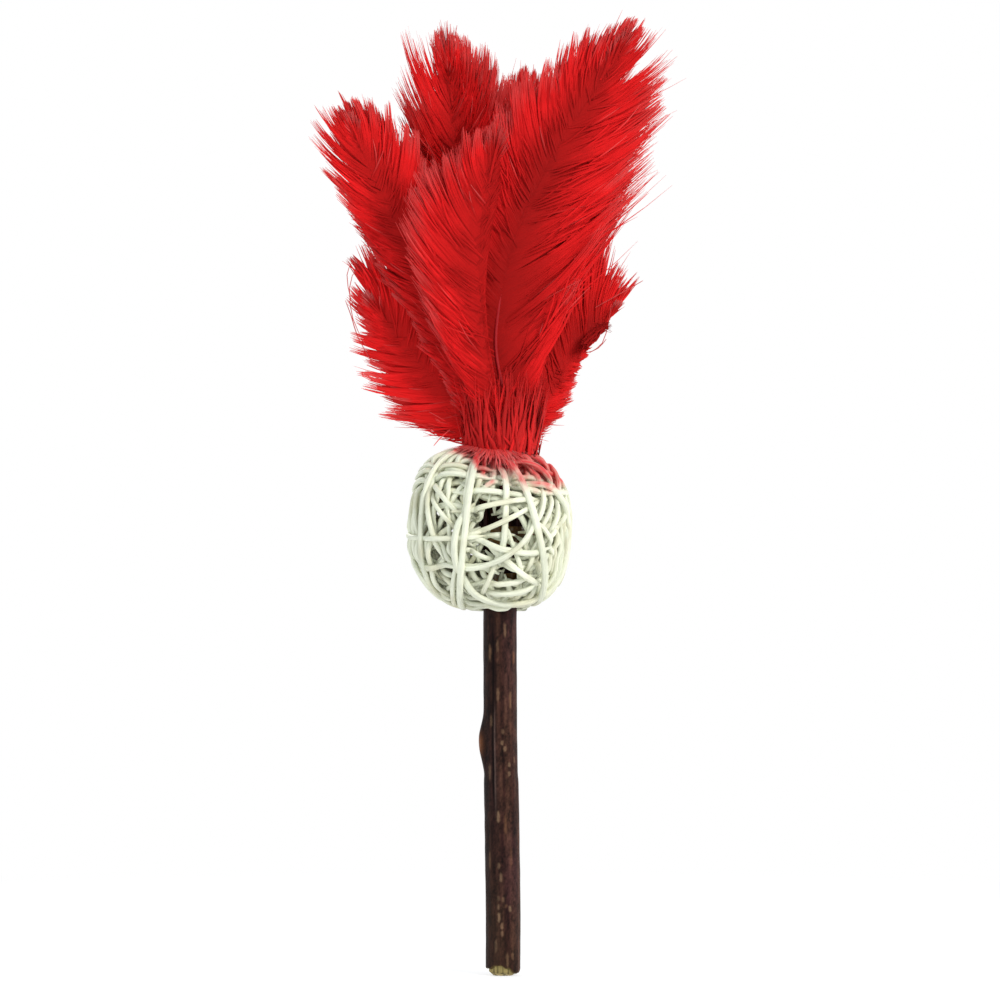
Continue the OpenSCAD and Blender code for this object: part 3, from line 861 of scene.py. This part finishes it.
def add_mat(barbs, seed, count, middle, spread, low, high):
    """Down matted onto the ball, from its top to between `low` and `high` degrees from it."""
    rng = np.random.default_rng(seed)
    a = np.radians(rng.normal(middle, spread, count)[:, None] + rng.normal(0, 9, count)[:, None] * S)
    near = bell(a[:, :1] - math.radians(middle), math.radians(spread))
    fall = rng.uniform(low, high, count)[:, None] - 14
    fall = np.radians(14 + fall * (0.45 + 0.55 * near) * S)
    ways = np.stack([np.sin(fall) * np.cos(a), np.sin(fall) * np.sin(a), np.cos(fall)], -1)
    line = BALL + squared(ways) * (OUTER_R + 0.55 + rng.uniform(0, 0.5, (count, 1, 1)))
    tone = tones(rng, 0.8, 0.12, count)
    # Paler towards the tips: painted light shining through them
    pale = 0.14 + 0.7 * rng.random((count, 1)) * smooth((S - 0.25) / 0.75)
    barbs.add(rng, line, 0.44 * (1 - 0.85 * S ** 2), ways, tone, pale)


# Single loose barbs, as places in the photograph's frame, with their depth, width and tone
LOOSE = {
    "low_left": [([(358, 268), (350, 280), (350, 305), (355, 325), (366, 346)], 2.0, 0.22, 0.6),
                 ([(352, 262), (347, 275), (351, 300), (361, 322)], 0.0, 0.2, 0.5),
                 ([(345, 300), (351, 316), (358, 338), (372, 362)], 3.0, 0.24, 0.4),
                 ([(434, 446), (438, 441), (443, 436), (450, 430)], -4.0, 0.24, 0.7)],
    "low_right": [([(612, 303), (609, 322), (603, 342), (590, 352)], 8.0, 0.22, 0.7),
                  ([(607, 338), (599, 347), (586, 352), (572, 350)], 8.0, 0.22, 0.6),
                  ([(644, 279), (630, 287), (614, 296), (596, 306)], 9.0, 0.25, 0.6)],
    "right": [([(531, 527 + 2.2 * i), (533, 528 + 2 * i), (535, 530 + 2 * i), (538, 530 + 2 * i)],
               -10.0 + 0.2 * i, 0.7, 0.7) for i in range(10) if i not in (4, 5)],
}
# A dark tuft that curls over at the plume's side
TUFT = [(585, 344), (592, 336), (600, 329), (608, 324)]


def add_loose(barbs, seed):
    rng = np.random.default_rng(seed)
    for places, depth, wide, tone in LOOSE.get(barbs.feather.name, []):
        spots = [px(*place) for place in places]
        line = curve([(x, depth, z) for x, z in spots], S)[None]
        width = wide * (0.4 + 0.6 * np.sin(np.pi * (0.12 + 0.8 * S)))
        barbs.add(rng, line, width, FORWARD, tone, 0.25)
    if barbs.feather.name == "low_right":
        for _ in range(110):
            off = rng.normal(0, 1, (4, 2)) * [2.2, 2.4]
            depth = 5.0 + rng.normal(0, 1.2)
            spots = [px(x, y) for x, y in TUFT + off]
            line = curve([(x, depth + i * 0.5, z) for i, (x, z) in enumerate(spots)], S)[None]
            barbs.add(rng, line, 0.4 * taper(0.8, 0.4), FORWARD, 0.1, 0.0, dim=0.75)


def feather_pieces(name, seed):
    f = Feather(name)
    shaft_piece(f)
    barbs = Barbs(f)
    for layer in range(len(LAYERS)):
        add_web(barbs, -1, f.left, seed + 100 * layer, layer)
        add_web(barbs, 1, f.right, seed + 50 + 100 * layer, layer)
    add_tip(barbs, seed + 400)
    add_down(barbs, seed + 300, 160 if name == "front" else 260)
    add_spill(barbs, seed + 500)
    add_loose(barbs, seed + 600)
    if name == "front":
        add_mat(barbs, 700, 260, -74, 24, 32, 50)
        add_mat(barbs, 701, 160, -120, 26, 20, 30)
    if name == "centre":
        add_mat(barbs, 702, 240, 80, 50, 18, 34)
    stands_for(barbs.piece(f"feather_{name}_barbs"), f"feather_{name}_vane")


for index, feather_name in enumerate(FEATHERS):
    feather_pieces(feather_name, 11 + index)


# The rattan ball

# Strands seen from the front, the outermost first: x and y of three places in the photograph's
# frame. Beyond them a strand dives under its neighbours. But "turn" is a whole turn, and "first" and
# "last" dive at one end only, and go round the back past their first or last place.
SEEN = [
    (476.4, 464.5, 466, 525, 458.7, 600, "turn"), (520, 476, 532, 510, 543.7, 588, "turn"),
    (462, 581, 491.7, 602.5, 560, 574, "turn"), (464.6, 568, 507, 555, 547, 501),
    (461, 451.5, 421, 517.6, 442, 600, "turn"), (405.6, 536.5, 432, 537, 458.7, 536.5, "first"),
    (470, 468, 459.5, 528, 452, 598, "turn"), (470.5, 534, 498.8, 523.5, 528, 509),
    (475, 506, 500, 502, 525, 497.5), (470.5, 537.6, 496.5, 548, 539, 553),
    (565, 494, 567, 541, 563.7, 582.5, "turn"), (504.7, 471.6, 507, 506, 504.7, 541),
    (525, 480, 543, 485, 560, 491.6, "last"), (506, 560, 519, 570.5, 532, 581),
    (499, 562, 492, 577, 485, 592), (429, 486, 427, 506, 430, 534), (424.5, 568, 444, 569, 463.4, 569.5),
    (444.6, 465.7, 460, 464, 476.4, 463.3, "first"), (434, 501, 442, 514, 451.6, 527),
    (541, 522, 546.5, 531, 552, 541), (493, 587, 510, 585, 525, 584), (499, 597, 518, 593.5, 536.6, 588),
    (433, 541, 440, 553, 447, 566), (442, 474, 457, 473, 472, 473, "first"),
    (478, 487.5, 500, 489, 521, 492), (480, 485.5, 489, 479.5, 502, 475),
    (436, 484.6, 444, 495, 451.6, 506), (558, 533, 553, 540, 548, 548), (486, 456, 484, 466, 480, 477),
    (494, 457, 494, 466, 493, 475), (512, 460, 512, 470, 511, 479), (419, 470, 440, 466, 462, 470, "first"),
    (551, 465, 560, 500, 555, 540), (540, 462, 549, 470, 562, 486, "last"),
    (410, 560, 425, 585, 450, 603, "first"), (447, 480, 446, 540, 452, 580), (536, 560, 548, 520, 556, 490),
    (530, 600, 548, 580, 560, 550, "last"), (467, 453, 428, 518, 448, 602, "turn"),
    (455, 452, 414, 517, 435, 596, "turn"), (462, 452, 425, 500, 424, 560, "first"),
    (571, 500, 572, 530, 567, 565, "turn"), (470, 484, 497, 494, 530, 496), (463, 520, 450, 545, 436, 566),
    (545, 500, 536, 520, 533, 545), (515, 545, 520, 560, 524, 575), (469, 541, 485, 536, 503, 534),
    (466, 545, 476, 549, 484, 546), (491, 551, 500, 556, 514, 555), (466, 570, 480, 566, 495, 568),
    (461, 553, 474, 556, 488, 561), (470, 577, 482, 574, 497, 576), (497, 566, 510, 571, 526, 572),
    (500, 575, 514, 574, 530, 570), (480, 500, 483, 507, 476, 516), (519, 550, 527, 557, 537, 562),
    (523, 566, 532, 560, 542, 558), (478, 560, 486, 572, 498, 580), (535, 488, 541, 500, 552, 508),
]
# Open places in the ball's front, where the dark inside shows: centre and half sizes
GAPS = [((489, 517.5), (12, 7)), ((517.5, 534), (8, 7)), ((485, 553), (3, 4)), ((506, 582.5), (11, 3.5)),
        ((485, 496), (7, 2.5)), ((513.5, 484.5), (6, 4))]
# How far round a strand goes past its places before it dives, in radians, and how far round the back
PAST = 0.3
ROUND_BACK = 2.4
# How deep the strands' ends dive and how deep the hidden strands lie, the radius of the ball's
# hollow, and how near the middle line strands come beside the stick and beside the quills, in mm
DIVE = 4.8
DEEP = 2.6
HOLLOW_R = 13.2
STICK_CLEAR = 5.25
QUILLS_CLEAR = 6.3


def on_ball(x, y):
    """The way from the ball's middle to the place on its front that the photograph shows."""
    a, c = px(x, y)
    p = np.array([a - BALL[0], 0.0, c - BALL[2]]) * 0.986
    free = OUTER_R ** BALL_POWER - abs(p[0]) ** BALL_POWER - abs(p[2]) ** BALL_POWER
    p[1] = -max(free, 0.02) ** (1 / BALL_POWER)
    return unit(p)


def circles(rng):
    """Each strand's circle on the ball, as its axis, its place along that and its start's way,
    with what kind of strand it is and the ends that are seen."""
    for row in SEEN:
        d1, d2, d3 = (on_ball(*row[i:i + 2]) for i in (0, 2, 4))
        n = unit(np.cross(d2 - d1, d3 - d1))
        s = float(n @ d1)
        yield n, s, unit(d2 - n * s), (*row, "dives")[6], (d1, d3)
    # Turns that follow the outline as it is seen from the front
    for s in (-0.34, -0.2, -0.07, 0.06, 0.2, 0.36):
        n = unit(np.array([rng.normal(0, 0.09), 1.0, rng.normal(0, 0.09)]))
        yield n, s, unit(np.cross(n, [0.3, 0, 1.0])), "rim", None
    # What lies under these, and the unseen back
    for kind in ["deep"] * 38 + ["back"] * 50:
        n = unit(rng.normal(0, 1, 3))
        s = rng.uniform(-0.75, 0.75)
        yield n, s, unit(np.cross(n, unit(rng.normal(0, 1, 3)))), kind, None


def strand_ways(rng):
    """Each strand as ways from the ball's middle, in steps of about 0.9 mm, and its kind."""
    strands = []
    for n, s, e1, kind, seen in list(circles(rng)):
        e2 = np.cross(n, e1)
        count = max(int(np.sqrt(1 - s * s) * 2 * np.pi * 20 / 0.9), 24)
        a = turns(count)
        sway = 0.01 * np.sin(2 * a + rng.random() * 6) + 0.008 * np.sin(3 * a + rng.random() * 6)
        wob = (s + sway * min((1 - abs(s)) / 0.03, 1.0))[:, None]
        flat = e1 * np.cos(a)[:, None] + e2 * np.sin(a)[:, None]
        ways = n * wob + np.sqrt(1 - wob ** 2) * flat
        shown = BALL + OUTER_R * squared(ways)
        blocked = np.zeros(count, bool)
        for (gx, gy), half in GAPS:
            x, z = px(gx, gy)
            wide, high = np.array(half) * 0.25 + 0.75
            inside = ((shown[:, 0] - x) / wide) ** 2 + ((shown[:, 2] - z) / high) ** 2
            blocked |= (inside < 1) & (shown[:, 1] < 0)
        if seen:
            a1, a3 = [math.atan2(d @ e2, d @ e1) for d in seen]
            lo, hi = min(a1, a3, 0) - 0.06, max(a1, a3, 0) + 0.06
            blocked &= ~((a < hi) | (a > 2 * np.pi + lo))
            if kind != "turn":
                starts_back = kind == ("first" if a1 < a3 else "last")
                before = ROUND_BACK if starts_back else PAST
                after = ROUND_BACK if kind != "dives" and not starts_back else PAST
                blocked = ~((a < hi + after) | (a > 2 * np.pi + lo - before))
        elif kind == "back":
            blocked |= shown[:, 1] < -8
        if blocked.all():
            continue
        # The longest free stretch, or a whole turn with its ends side by side at the back
        if blocked.any():
            order = np.roll(np.arange(count), -np.flatnonzero(blocked)[0])
            runs = np.split(order, np.flatnonzero(np.diff(blocked[order])) + 1)
            runs = [run for run in runs if not blocked[run[0]]]
            run = max(runs, key=len)
            if seen:
                run = next((r for r in runs if 0 in r), run)
            if len(run) >= (8 if seen else 20):
                strands.append((ways[run], kind))
        else:
            order = np.roll(np.arange(count), -np.argmax(shown[:, 1]))
            order = np.concatenate([order, order[:8]])
            drift = np.linspace(-0.03, 0.03, len(order))[:, None]
            strands.append((unit(ways[order] + n * drift), kind))
    return strands


def settle(strands, rng):
    """Lifts and lowers the strands where they cross, so that each goes over or under the next."""
    mean_r, reach, thick = 18.5, 1.6, 1.3
    counts = [len(w) for w, _ in strands]
    deep = np.repeat([DEEP if kind == "deep" else 0.0 for _, kind in strands], counts)
    owner = np.repeat(np.arange(len(strands)), counts)
    shell = squared(np.concatenate([w for w, _ in strands]))
    total = len(shell)
    index = np.arange(total)
    # Pairs of places that touch, at `need` mm above each other
    pairs = []
    for lo in range(0, total, 400):
        gap = np.linalg.norm(shell[lo:lo + 400, None] - shell[None], axis=2) * mean_r
        a, b = np.nonzero(gap < reach)
        a += lo
        keep = (a < b) & ((owner[a] != owner[b]) | (b - a > 5))
        pairs.append((a[keep], b[keep]))
    a, b = (np.concatenate(x) for x in zip(*pairs))
    side = np.linalg.norm(shell[a] - shell[b], axis=1) * mean_r
    need = thick * np.sqrt(np.maximum(1 - (side / reach) ** 2, 0)) + 0.03
    # In front the listed order holds, and at the back chance decides which strand is over
    lots = rng.random((len(strands), len(strands), 2))[..., 1]
    over = np.where((shell[a][:, 1] > 0.15) & (lots[owner[a], owner[b]] >= 0.5), -1.0, 1.0)
    dive = DIVE * (1 - smooth(np.concatenate([to_end(n) for n in counts]) / 8.0)) + deep
    breaks = owner[1:] != owner[:-1]
    before = np.where(np.append(True, breaks), index, index - 1)
    after = np.where(np.append(breaks, True), index, index + 1)
    r = OUTER_R - 0.02 * owner
    for _ in range(500):
        short = np.maximum(need - over * (r[a] - r[b]), 0) * over * 0.45
        push = np.bincount(a, short, total) - np.bincount(b, short, total)
        share = np.bincount(a, short != 0, total) + np.bincount(b, short != 0, total)
        r = r + push / np.maximum(share, 1) ** 0.7
        r = r + 0.35 * ((r[before] + r[after]) / 2 - r)
        r = r + (0.02 + 0.1 * (dive > 0.5)) * (OUTER_R - dive - r)
        r = np.clip(r, HOLLOW_R, OUTER_R)
    points = BALL + shell * r[:, None]
    # The strands bend round the stick and the quills
    d = np.linalg.norm(points[:, :2], axis=1)
    clear = np.where(points[:, 2] < STICK_LENGTH, STICK_CLEAR, QUILLS_CLEAR)
    points[:, :2] *= ((d ** 6 + clear ** 6) ** (1 / 6) / np.maximum(d, 1e-6))[:, None]
    return np.split(points, np.cumsum(counts)[:-1])


def red_near_top(x, y, z):
    """How much redder the rattan is near the ball's top, below the feathers."""
    places = [-24, -12, -7, -4, 4, 7, 14, 18]
    edge = np.interp(x, places, [134, 130.5, 127.4, 122.8, 122.4, 121.4, 120.6, 123.5])
    edge += 2.0 * noise(x * 0.35, y * 0.35, 40) + 0.9 * noise(x * 1.3, z * 1.3, 41)
    return smooth((z - edge) / 4.2)


IVORY = srgb(247, 249, 227)
GREYED = srgb(186, 196, 176)
TAN = srgb(198, 190, 150)
TOP_RED = srgb(220, 54, 60)
CANE_SIDES = 12


def cane_rings(line, wide, i):
    """Rings of the i'th strand, a little flat on the outside, with long shallow grooves."""
    step = np.arange(len(line))[:, None]
    side = np.arange(CANE_SIDES)[None]
    c, s = np.cos(turns(CANE_SIDES)), np.sin(turns(CANE_SIDES))
    x = np.sign(c) * np.abs(c) ** 0.8
    y = np.sign(s) * np.abs(s) ** 0.8 * 0.82
    roll = 0.5 * noise(step * 0.03, np.full(step.shape, i + 0.5), 36)
    ridge = 1 + 0.05 * noise(step * 0.05, side * 0.9 + i * 7.3, 37)
    x, y = x * np.cos(roll) - y * np.sin(roll), x * np.sin(roll) + y * np.cos(roll)
    return rings_round(line, unit(line - BALL), wide[:, None] * ridge, x, y)


def cane_colours(points, lengths, i):
    """The i'th strand's colours: ivory with grey and tan stretches, and redder near the ball's top."""
    own = np.full(lengths.shape, i + 0.5)
    grey = 0.5 + 0.5 * noise(lengths * 0.07, own, 33)
    tan = 0.35 * smooth(noise(lengths * 0.2, own, 35) * 1.6)
    colour = blend(blend(IVORY, GREYED, 0.4 * grey), TAN, tan)[:, None]
    patches = noise(lengths[:, None] * 0.6, np.arange(CANE_SIDES)[None], 51 + i)
    dye = red_near_top(*np.moveaxis(points, -1, 0)) * (0.88 + 0.2 * patches)
    return blend(colour, TOP_RED, np.clip(dye, 0, 1))


def ball_pieces(groups=8):
    rng = np.random.default_rng(20)
    lines = settle(strand_ways(rng), rng)
    tubes = [[] for _ in range(groups)]
    tints = [[] for _ in range(groups)]
    firsts = [0] * groups
    for i, line in enumerate(lines):
        line = curve(line, np.linspace(0, 1, len(line) * 2 - 1))
        n = len(line)
        lengths = run_lengths(line)
        wide = 0.84 if i < 3 else rng.uniform(0.6, 0.78)
        wide = wide * (1 + 0.08 * noise(lengths * 0.25, np.full(n, i + 0.5), 31))
        rings = cane_rings(line, wide * (0.4 + 0.6 * smooth(to_end(n) / 9)), i)
        g = i % groups
        tubes[g].append(tube(rings, lengths, firsts[g], i // groups, len(lines[g::groups])))
        tints[g].append(cane_colours(rings, lengths, i).reshape(-1, 3))
        firsts[g] += n * CANE_SIDES
    for g in range(groups):
        piece = tubes_piece(f"rattan_{g + 1}", CANE, tubes[g], np.concatenate(tints[g]))
        stands_for(piece, f"ball_strand_{g + 1}")


ball_pieces()


# The stick

# Lenticels on the front, as (x, top, bottom) in the photograph's frame, with the hue's place
LENTICELS = [
    (505, 624, 637, 0.3), (497.5, 640, 651, 0.3), (490, 645, 660, 0.5), (513.5, 652, 663, 0.9),
    (498, 688, 700, 0.35), (510, 691, 708, 0.6), (491, 715, 725, 0.2), (490, 765, 779, 0.1),
    (498.5, 811, 821, 0.1), (505.5, 815, 833, 0.8), (490, 852, 868, 0.4), (511, 846, 866, 0.9),
    (499, 862, 867, 0.1), (501, 872, 880, 0.1), (498.5, 895, 899, 0.1), (503, 896, 900, 0.3),
    (498.5, 903, 908, 0.1), (506, 903, 906, 0.7), (510, 905, 910, 0.1), (499, 912, 920, 0.1),
    (502, 922, 927, 0.3), (502, 930, 934, 0.2), (496, 939, 951, 0.1), (507.5, 952, 966, 0.4),
    (512.5, 952, 958, 0.5), (503, 729, 733, 0.3), (502, 740, 744, 0.2), (505, 746, 750, 0.2),
    (509, 762, 766, 0.1), (509, 771, 775, 0.1), (514, 757, 762, 0.4),
]
SIDES = 144
BARK_ROWS = 470
CUT_EDGE = srgb(120, 100, 60)


def bend(z):
    """The branch's own slight bend, across, in mm."""
    return np.interp(z, [0, 15, 40, 60, 88, 100, 118], [0.38, 0.4, 0.1, -0.3, -0.36, -0.2, 0.0])


def bark_r(z):
    return GRIP_R + (STICK_R - GRIP_R) * smooth((z - GRIP_LENGTH) / NARROWING)


def turn_to(a, b):
    """The signed angle from b to a."""
    return (a - b + np.pi) % (2 * np.pi) - np.pi


def bark_marks(g, z, rng):
    """The lenticels: how strongly each place is marked, its hue's place and its colour's share."""
    marks = []
    for x, top, bottom, tint in LENTICELS:
        across, z0 = px(x, (top + bottom) / 2)
        turn = -math.acos(np.clip((across - bend(z0)) / bark_r(z0), -0.98, 0.98))
        marks.append((turn, z0, (bottom - top) * 0.125, 0.36, tint))
    for _ in range(70):
        marks.append((rng.uniform(0.15, np.pi - 0.15), rng.uniform(5, 100), rng.uniform(0.5, 2.0),
                      rng.uniform(0.2, 0.36), rng.random()))
    ragged = round_noise(g, z * 2.2, 69, 70)
    mask, hue, strength = np.zeros((3, *z.shape))
    for turn, z0, half, wide, tint in marks:
        d = (turn_to(g, turn) * STICK_R / wide) ** 2 + ((z - z0) / (half + 0.15)) ** 4
        m = np.exp(-(d * (1.2 + 0.7 * ragged)) ** 1.5)
        hue = np.where(m > mask, tint, hue)
        strength = np.where(m > mask, 0.16 + 0.3 * rng.random(), strength)
        mask = np.maximum(mask, m)
    return mask, hue, strength


def stick_pieces():
    """The bark, and the wood inside it."""
    a = turns(SIDES)
    # The bark's lower edge, worn and with a chip
    chip = math.radians(-110)
    low = (BEVEL_RISE + 0.18 * round_noise(a, np.full(SIDES, 0.3), 61, 16)
           + 1.0 * bell(turn_to(a, chip), 0.42, 4) + 0.5 * bell(turn_to(a, chip + 0.75), 0.2)
           - 1.1 * bell(turn_to(a, -0.35), 0.75, 4))
    low = np.maximum(low, 0.3)
    z = low + (STICK_LENGTH - low) * np.linspace(0, 1, BARK_ROWS)[:, None]
    g = np.broadcast_to(a, z.shape)
    # Long shallow ridges, a groove beside the front's middle, and the bud scar
    coarse = round_noise(g, z * 0.35, 67, 30)
    ridge = 0.5 * round_noise(g, z * 0.03, 62, 9) + 0.5 * round_noise(g, z * 0.05, 63, 22)
    r = bark_r(z) + 0.1 * ridge + 0.03 * coarse
    off = turn_to(g, math.radians(-117) + 0.02 * np.sin(z * 0.09)) * STICK_R
    run = smooth((z - 38) / 10) * smooth((92 - z) / 10)
    groove = bell(off, 0.3) * run
    lip = bell(off - 0.55, 0.22) * run * smooth((70 - z) / 8)
    bud_off = turn_to(g, np.pi) * STICK_R
    rise = np.where(z < BUD_Z, smooth((z - 49.5) / 9.0), smooth((66.5 - z) / 8.0))
    dent = bell(bud_off - 0.4, 0.5) * bell(z - 58.2, 1.5)
    r += -0.3 * groove + 0.12 * lip + 1.3 * bell(bud_off, 1.9) * rise - 0.16 * dent
    mask, hue, strength = bark_marks(g, z, np.random.default_rng(5))
    r += 0.09 * mask - 0.03 * (mask > 0.75) * mask
    # The sawn edge curls in
    edge = np.clip((z - low) / 0.55, 0, 1)
    r -= 0.5 * (1 - np.sqrt(1 - (1 - edge) ** 2)) + 0.3 * np.maximum(BEVEL_RISE - z, 0)
    outer = np.stack([r * np.cos(g) + bend(z), r * np.sin(g), z], -1)

    # Colour: the ground, painted light and shade that make the side towards the key lamp lighter
    # and the far side darker, and what lies on it
    streak = 0.5 + 0.5 * round_noise(g, z * 0.06, 64, 40)
    plum = 0.4 * smooth(0.2 + 0.8 * round_noise(g, z * 0.04, 65, 6))
    olive = smooth((30 - z) / 26) * (0.5 + 0.5 * round_noise(g, z * 0.14, 66, 14)) * 0.09
    mottle = coarse + 0.7 * round_noise(g, z * 1.3, 68, 60) + 0.7 * round_noise(g, z * 3.0, 70, 96)
    # Painted light and shade: lighter on the front right, towards the key lamp, darker on the far side
    painted_side_light = np.maximum(0.85 + 0.62 * np.cos(g + 0.5), 0.58)
    colour = blend(blend(srgb(34, 15, 13), srgb(76, 52, 40), streak * 0.5), srgb(42, 20, 28), plum)
    colour = colour * (np.maximum(1 + 0.5 * mottle, 0.25) * painted_side_light)[..., None]
    cork = blend(srgb(152, 124, 98), srgb(128, 84, 54), hue)
    scar = bell(bud_off - 0.4, 1.1) * bell(z - 58.0, 2.4)
    for over, share in [(srgb(14, 5, 6), np.clip(groove + 0.2 * (1 - streak), 0, 1)),
                        (srgb(104, 84, 78), 0.5 * lip),
                        (srgb(104, 84, 58), olive),
                        (cork, np.clip(mask * 1.1, 0, 0.95) * strength),
                        (srgb(118, 72, 44), np.clip(scar * 1.1, 0, 0.9)),
                        (CUT_EDGE, 0.7 * np.clip(1 - (z - low) / 0.35, 0, 1))]:
        colour = blend(colour, over, share)

    # The inner wall, down from the top
    x, y = (STICK_R - 0.6) * np.cos(a), (STICK_R - 0.6) * np.sin(a)
    inner = np.stack([[x + bend(118.0), y, np.full(SIDES, STICK_LENGTH)],
                      [x + bend(2.0), y, low + 0.1]]).swapaxes(1, 2)
    rings = np.concatenate([outer, inner])
    tint = np.concatenate([colour, np.zeros((2, SIDES, 3)) + CUT_EDGE])
    quads, across, along = grid_faces(len(rings), SIDES)
    loop = np.arange(SIDES)
    across = np.concatenate([across, np.stack([loop, loop + 1, loop + 1, loop], 1)])
    along = np.concatenate([along, np.zeros((SIDES, 4))])
    last = (len(rings) - 1) * SIDES
    close = across[-SIDES:] % SIDES + [last, last, 0, 0]
    u, v = across / SIDES, along / BARK_ROWS
    uvs = {"Length": [np.stack([u, v * STICK_LENGTH], -1)],
           "OFBake": [0.002 + 0.996 * np.stack([u, v / (1 + 3 / BARK_ROWS)], -1)]}
    bark = build("bark", BARK, rings, np.concatenate([quads, close]), NO_TRIS, uvs, tint)
    stands_for(bark, "stick_bark")
    wood_piece(a)


def wood_piece(a):
    """The branch's wood: its worn end with rings, heart and saw marks."""
    flat_r = GRIP_R - END_BEVEL
    wood_r = STICK_R - 0.68
    radii = np.concatenate([np.linspace(0.02, flat_r, 30), np.linspace(flat_r, wood_r, 18)[1:]])
    q, g = np.meshgrid(radii, a, indexing="ij")
    x, y = q * np.cos(g), q * np.sin(g)
    saw = 0.05 * np.sin(q * np.cos(g - 0.5) * 9 + 1.5 * noise(x + 9, y + 9, 71))
    worn = 0.06 * (1 + noise(g * 7, q * 3, 72)) * (q > flat_r)
    z = BEVEL_RISE * np.maximum(q - flat_r, 0) / END_BEVEL + worn
    z += (saw + 0.05) * smooth((flat_r + 0.3 - q) / 0.5)
    end = np.stack([x + bend(0.0), y, z], -1)
    rise = z[-1] + (STICK_LENGTH - z[-1]) * np.linspace(0, 1, 40)[1:, None]
    wall_y = np.broadcast_to(wood_r * np.sin(a), rise.shape)
    wall = np.stack([wood_r * np.cos(a) + bend(rise), wall_y, rise], -1)
    top = [0.02 * np.cos(a) + bend(118.0), 0.02 * np.sin(a), np.full(SIDES, STICK_LENGTH)]
    rings = np.concatenate([end, wall, np.stack(top, -1)[None]])
    rows = len(rings)
    green = srgb(150, 134, 80)
    ring_tone = 0.5 + 0.5 * np.sin(q * 7.5 + 1.2 * round_noise(g, q, 73, 8))
    colour = blend(srgb(214, 198, 150), srgb(196, 172, 118), 0.6 * ring_tone)
    colour = blend(colour, green, smooth((q - 2.7) / 0.5) * 0.85)
    colour = blend(colour, srgb(116, 86, 54), smooth((0.55 - q) / 0.3))
    specks = noise(x * 2.2 + 20, y * 2.2 + 20, 74)
    colour = colour * (1 - 0.6 * smooth((specks - 0.05) / 0.4))[..., None]
    tint = np.concatenate([colour, np.zeros((rows - len(radii), SIDES, 3)) + green])
    quads, across, along = (part[:, ::-1] for part in grid_faces(rows, SIDES))
    u, v = across / SIDES, along / (rows - 1)
    uvs = {"Length": [np.stack([u * 2, v * 9], -1)], "OFBake": [0.002 + 0.996 * np.stack([u, v], -1)]}
    stands_for(build("wood", WOOD, rings, quads, NO_TRIS, uvs, tint), "stick_wood")


stick_pieces()

for glue in ("glue_fillet", "glue_band"):
    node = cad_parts[glue]
    node.data.materials.clear()
    node.data.materials.append(GLUE)
